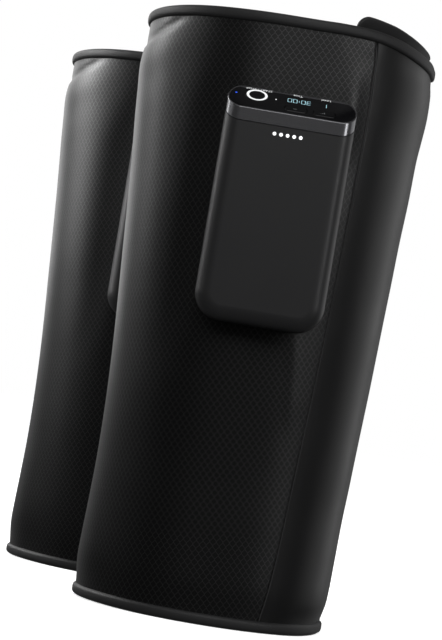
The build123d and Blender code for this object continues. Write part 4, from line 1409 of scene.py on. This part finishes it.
@dataclass(frozen=True)
class Softbox:
    """A soft lamp on a circle round the pair.

    Args:
        bearing: degrees from the front towards +X.
        distance: from the middle of the pair, in metres.
        height: of its centre, in metres.
        size: width and height in metres.
        level: brightness of its face, where 1 is white.
        target: where it points, in metres.
        spread: angle in degrees of the cone that it lights.
    """

    name: str
    bearing: float
    distance: float
    height: float
    size: Pair
    level: float
    target: tuple[float, float, float] = (0.02, -0.05, 0.13)
    spread: float = 180.0

    def build(self) -> None:
        """Makes the lamp."""
        lamp = bpy.data.lights.new(self.name, "AREA")
        lamp.shape, lamp.size, lamp.size_y = "RECTANGLE", *self.size
        lamp.energy = self.level * pi * self.size[0] * self.size[1]
        lamp.spread = radians(self.spread)
        made = bpy.data.objects.new(self.name, lamp)
        bearing = radians(self.bearing)
        place = Vector((self.distance * sin(bearing), -self.distance * cos(bearing), self.height))
        turn = (Vector(self.target) - place).to_track_quat("-Z", "Y").to_matrix().to_4x4()
        made.matrix_world = Matrix.Translation(place) @ turn
        bpy.context.scene.collection.objects.link(made)


@dataclass(frozen=True)
class Studio:
    """Camera, lamps, world, floor and backdrop."""

    camera_shift: tuple[float, float, float] = (-0.01005, -1.0, 0.08895)
    pitch: float = 2.202
    roll: float = 9.542
    lens: float = 128.9
    ambient: float = 0.55
    front: float = 0.03
    back: float = 0.16
    back_from: float = 0.5
    back_to: float = 0.85
    sensor: float = 36.0
    clip: Pair = (0.05, 50.0)
    floor_reach: float = 9e3
    floor_lift: float = 0.60
    lamps: tuple[Softbox, ...] = (
        Softbox("left", -99.0, 0.75, 0.55, (1.0, 0.5), 1.3),
        Softbox("rear-left", -120.0, 0.42, 0.30, (0.34, 0.28), 1.25, (-0.02, 0.12, 0.13), 60.0),
        Softbox("strip-left", -152.0, 1.3, 0.60, (0.60, 1.0), 1.5),
        Softbox("right", 122.0, 1.25, 0.42, (1.15, 1.1), 0.58),
        Softbox("strip-right", 58.0, 1.25, 0.34, (0.26, 0.30), 5.4),
        Softbox("front", 12.0, 1.4, 0.96, (2.2, 0.72), 2.1),
        Softbox("top", 10.0, 0.35, 1.4, (0.8, 0.5), 1.5),
    )

    def build_camera(self, axis: Pair) -> None:
        """Makes the camera in front of the right sleeve.

        Args:
            axis: the right sleeve's axis in millimetres.
        """
        data = bpy.data.cameras.new("camera")
        data.lens, data.sensor_width = self.lens, self.sensor
        data.clip_start, data.clip_end = self.clip
        data.dof.use_dof = False
        camera = bpy.data.objects.new("camera", data)
        place = Vector((axis[0] * MM, axis[1] * MM, 0)) + Vector(self.camera_shift)
        turn = Matrix.Rotation(radians(90 + self.pitch), 4, "X") @ Matrix.Rotation(radians(self.roll), 4, "Z")
        camera.matrix_world = Matrix.Translation(place) @ turn
        bpy.context.scene.collection.objects.link(camera)
        bpy.context.scene.camera = camera

    def build_world(self) -> None:
        """Makes the world: white where it is seen, plain and dim for the light that it gives."""
        world = bpy.data.worlds.new("studio")
        bpy.context.scene.world = world
        world.use_nodes = True
        back = world.node_tree.nodes["Background"]
        tree = Tree(world.node_tree)
        ray = tree.node("ShaderNodeLightPath").outputs
        place = tree.node("ShaderNodeTexCoord").outputs["Generated"]
        toward_back = tree.node("ShaderNodeSeparateXYZ", {0: place}).outputs["Y"]
        mirrored = tree.node("ShaderNodeMapRange", {
            "Value": toward_back, "From Min": self.back_from, "From Max": self.back_to,
            "To Min": self.front, "To Max": self.back}).outputs["Result"]
        sharp = tree.math("MAXIMUM", ray["Is Glossy Ray"], ray["Is Transmission Ray"])
        light = tree.node("ShaderNodeMix", {"Factor": sharp, 2: self.ambient, 3: mirrored}).outputs[0]
        tree.feed(back.inputs["Color"], (1, 1, 1))
        tree.feed(back.inputs["Strength"], tree.math("MAXIMUM", ray["Is Camera Ray"], light))

    def build_floor(self) -> None:
        """Makes a pale floor that keeps the object's shadow."""
        ends = (-self.floor_reach, self.floor_reach)
        floor = Skin.grid(np.array([[(x, y, 0) for y in ends] for x in ends], float)).build("floor")
        recipe = Recipe("pale-floor")
        path = recipe.node("ShaderNodeLightPath").outputs["Is Camera Ray"]
        lift = recipe.math("MULTIPLY", path, self.floor_lift)
        floor.data.materials.append(recipe.surface(
            Base_Color=(0.82, 0.82, 0.82), Roughness=0.9, Specular_IOR_Level=0.0,
            Emission_Color=(1.0, 1.0, 1.0), Emission_Strength=lift))
        floor.visible_diffuse = False
        floor.visible_glossy = False
        floor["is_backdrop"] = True

    def build(self, axis: Pair) -> None:
        """Builds the studio round the pair."""
        scene = bpy.context.scene
        scene.view_settings.view_transform = "Standard"
        self.build_camera(axis)
        self.build_world()
        self.build_floor()
        for lamp in self.lamps:
            lamp.build()


def corners() -> list[list[float]]:
    """Lowest and highest corner of what is shown, as plain lists."""
    return [[float(x) for x in corner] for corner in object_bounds()]


def main() -> None:
    """Builds the pair and its studio."""
    logging.basicConfig(level=logging.INFO, format="%(message)s")
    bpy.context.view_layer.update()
    finishes = Finishes()
    units = [SleeveUnit(unit, finishes) for unit in Unit]
    axis = units[0].axis()
    for unit in units:
        unit.build()
    Studio().build(axis)


if __name__ == "__main__":
    main()
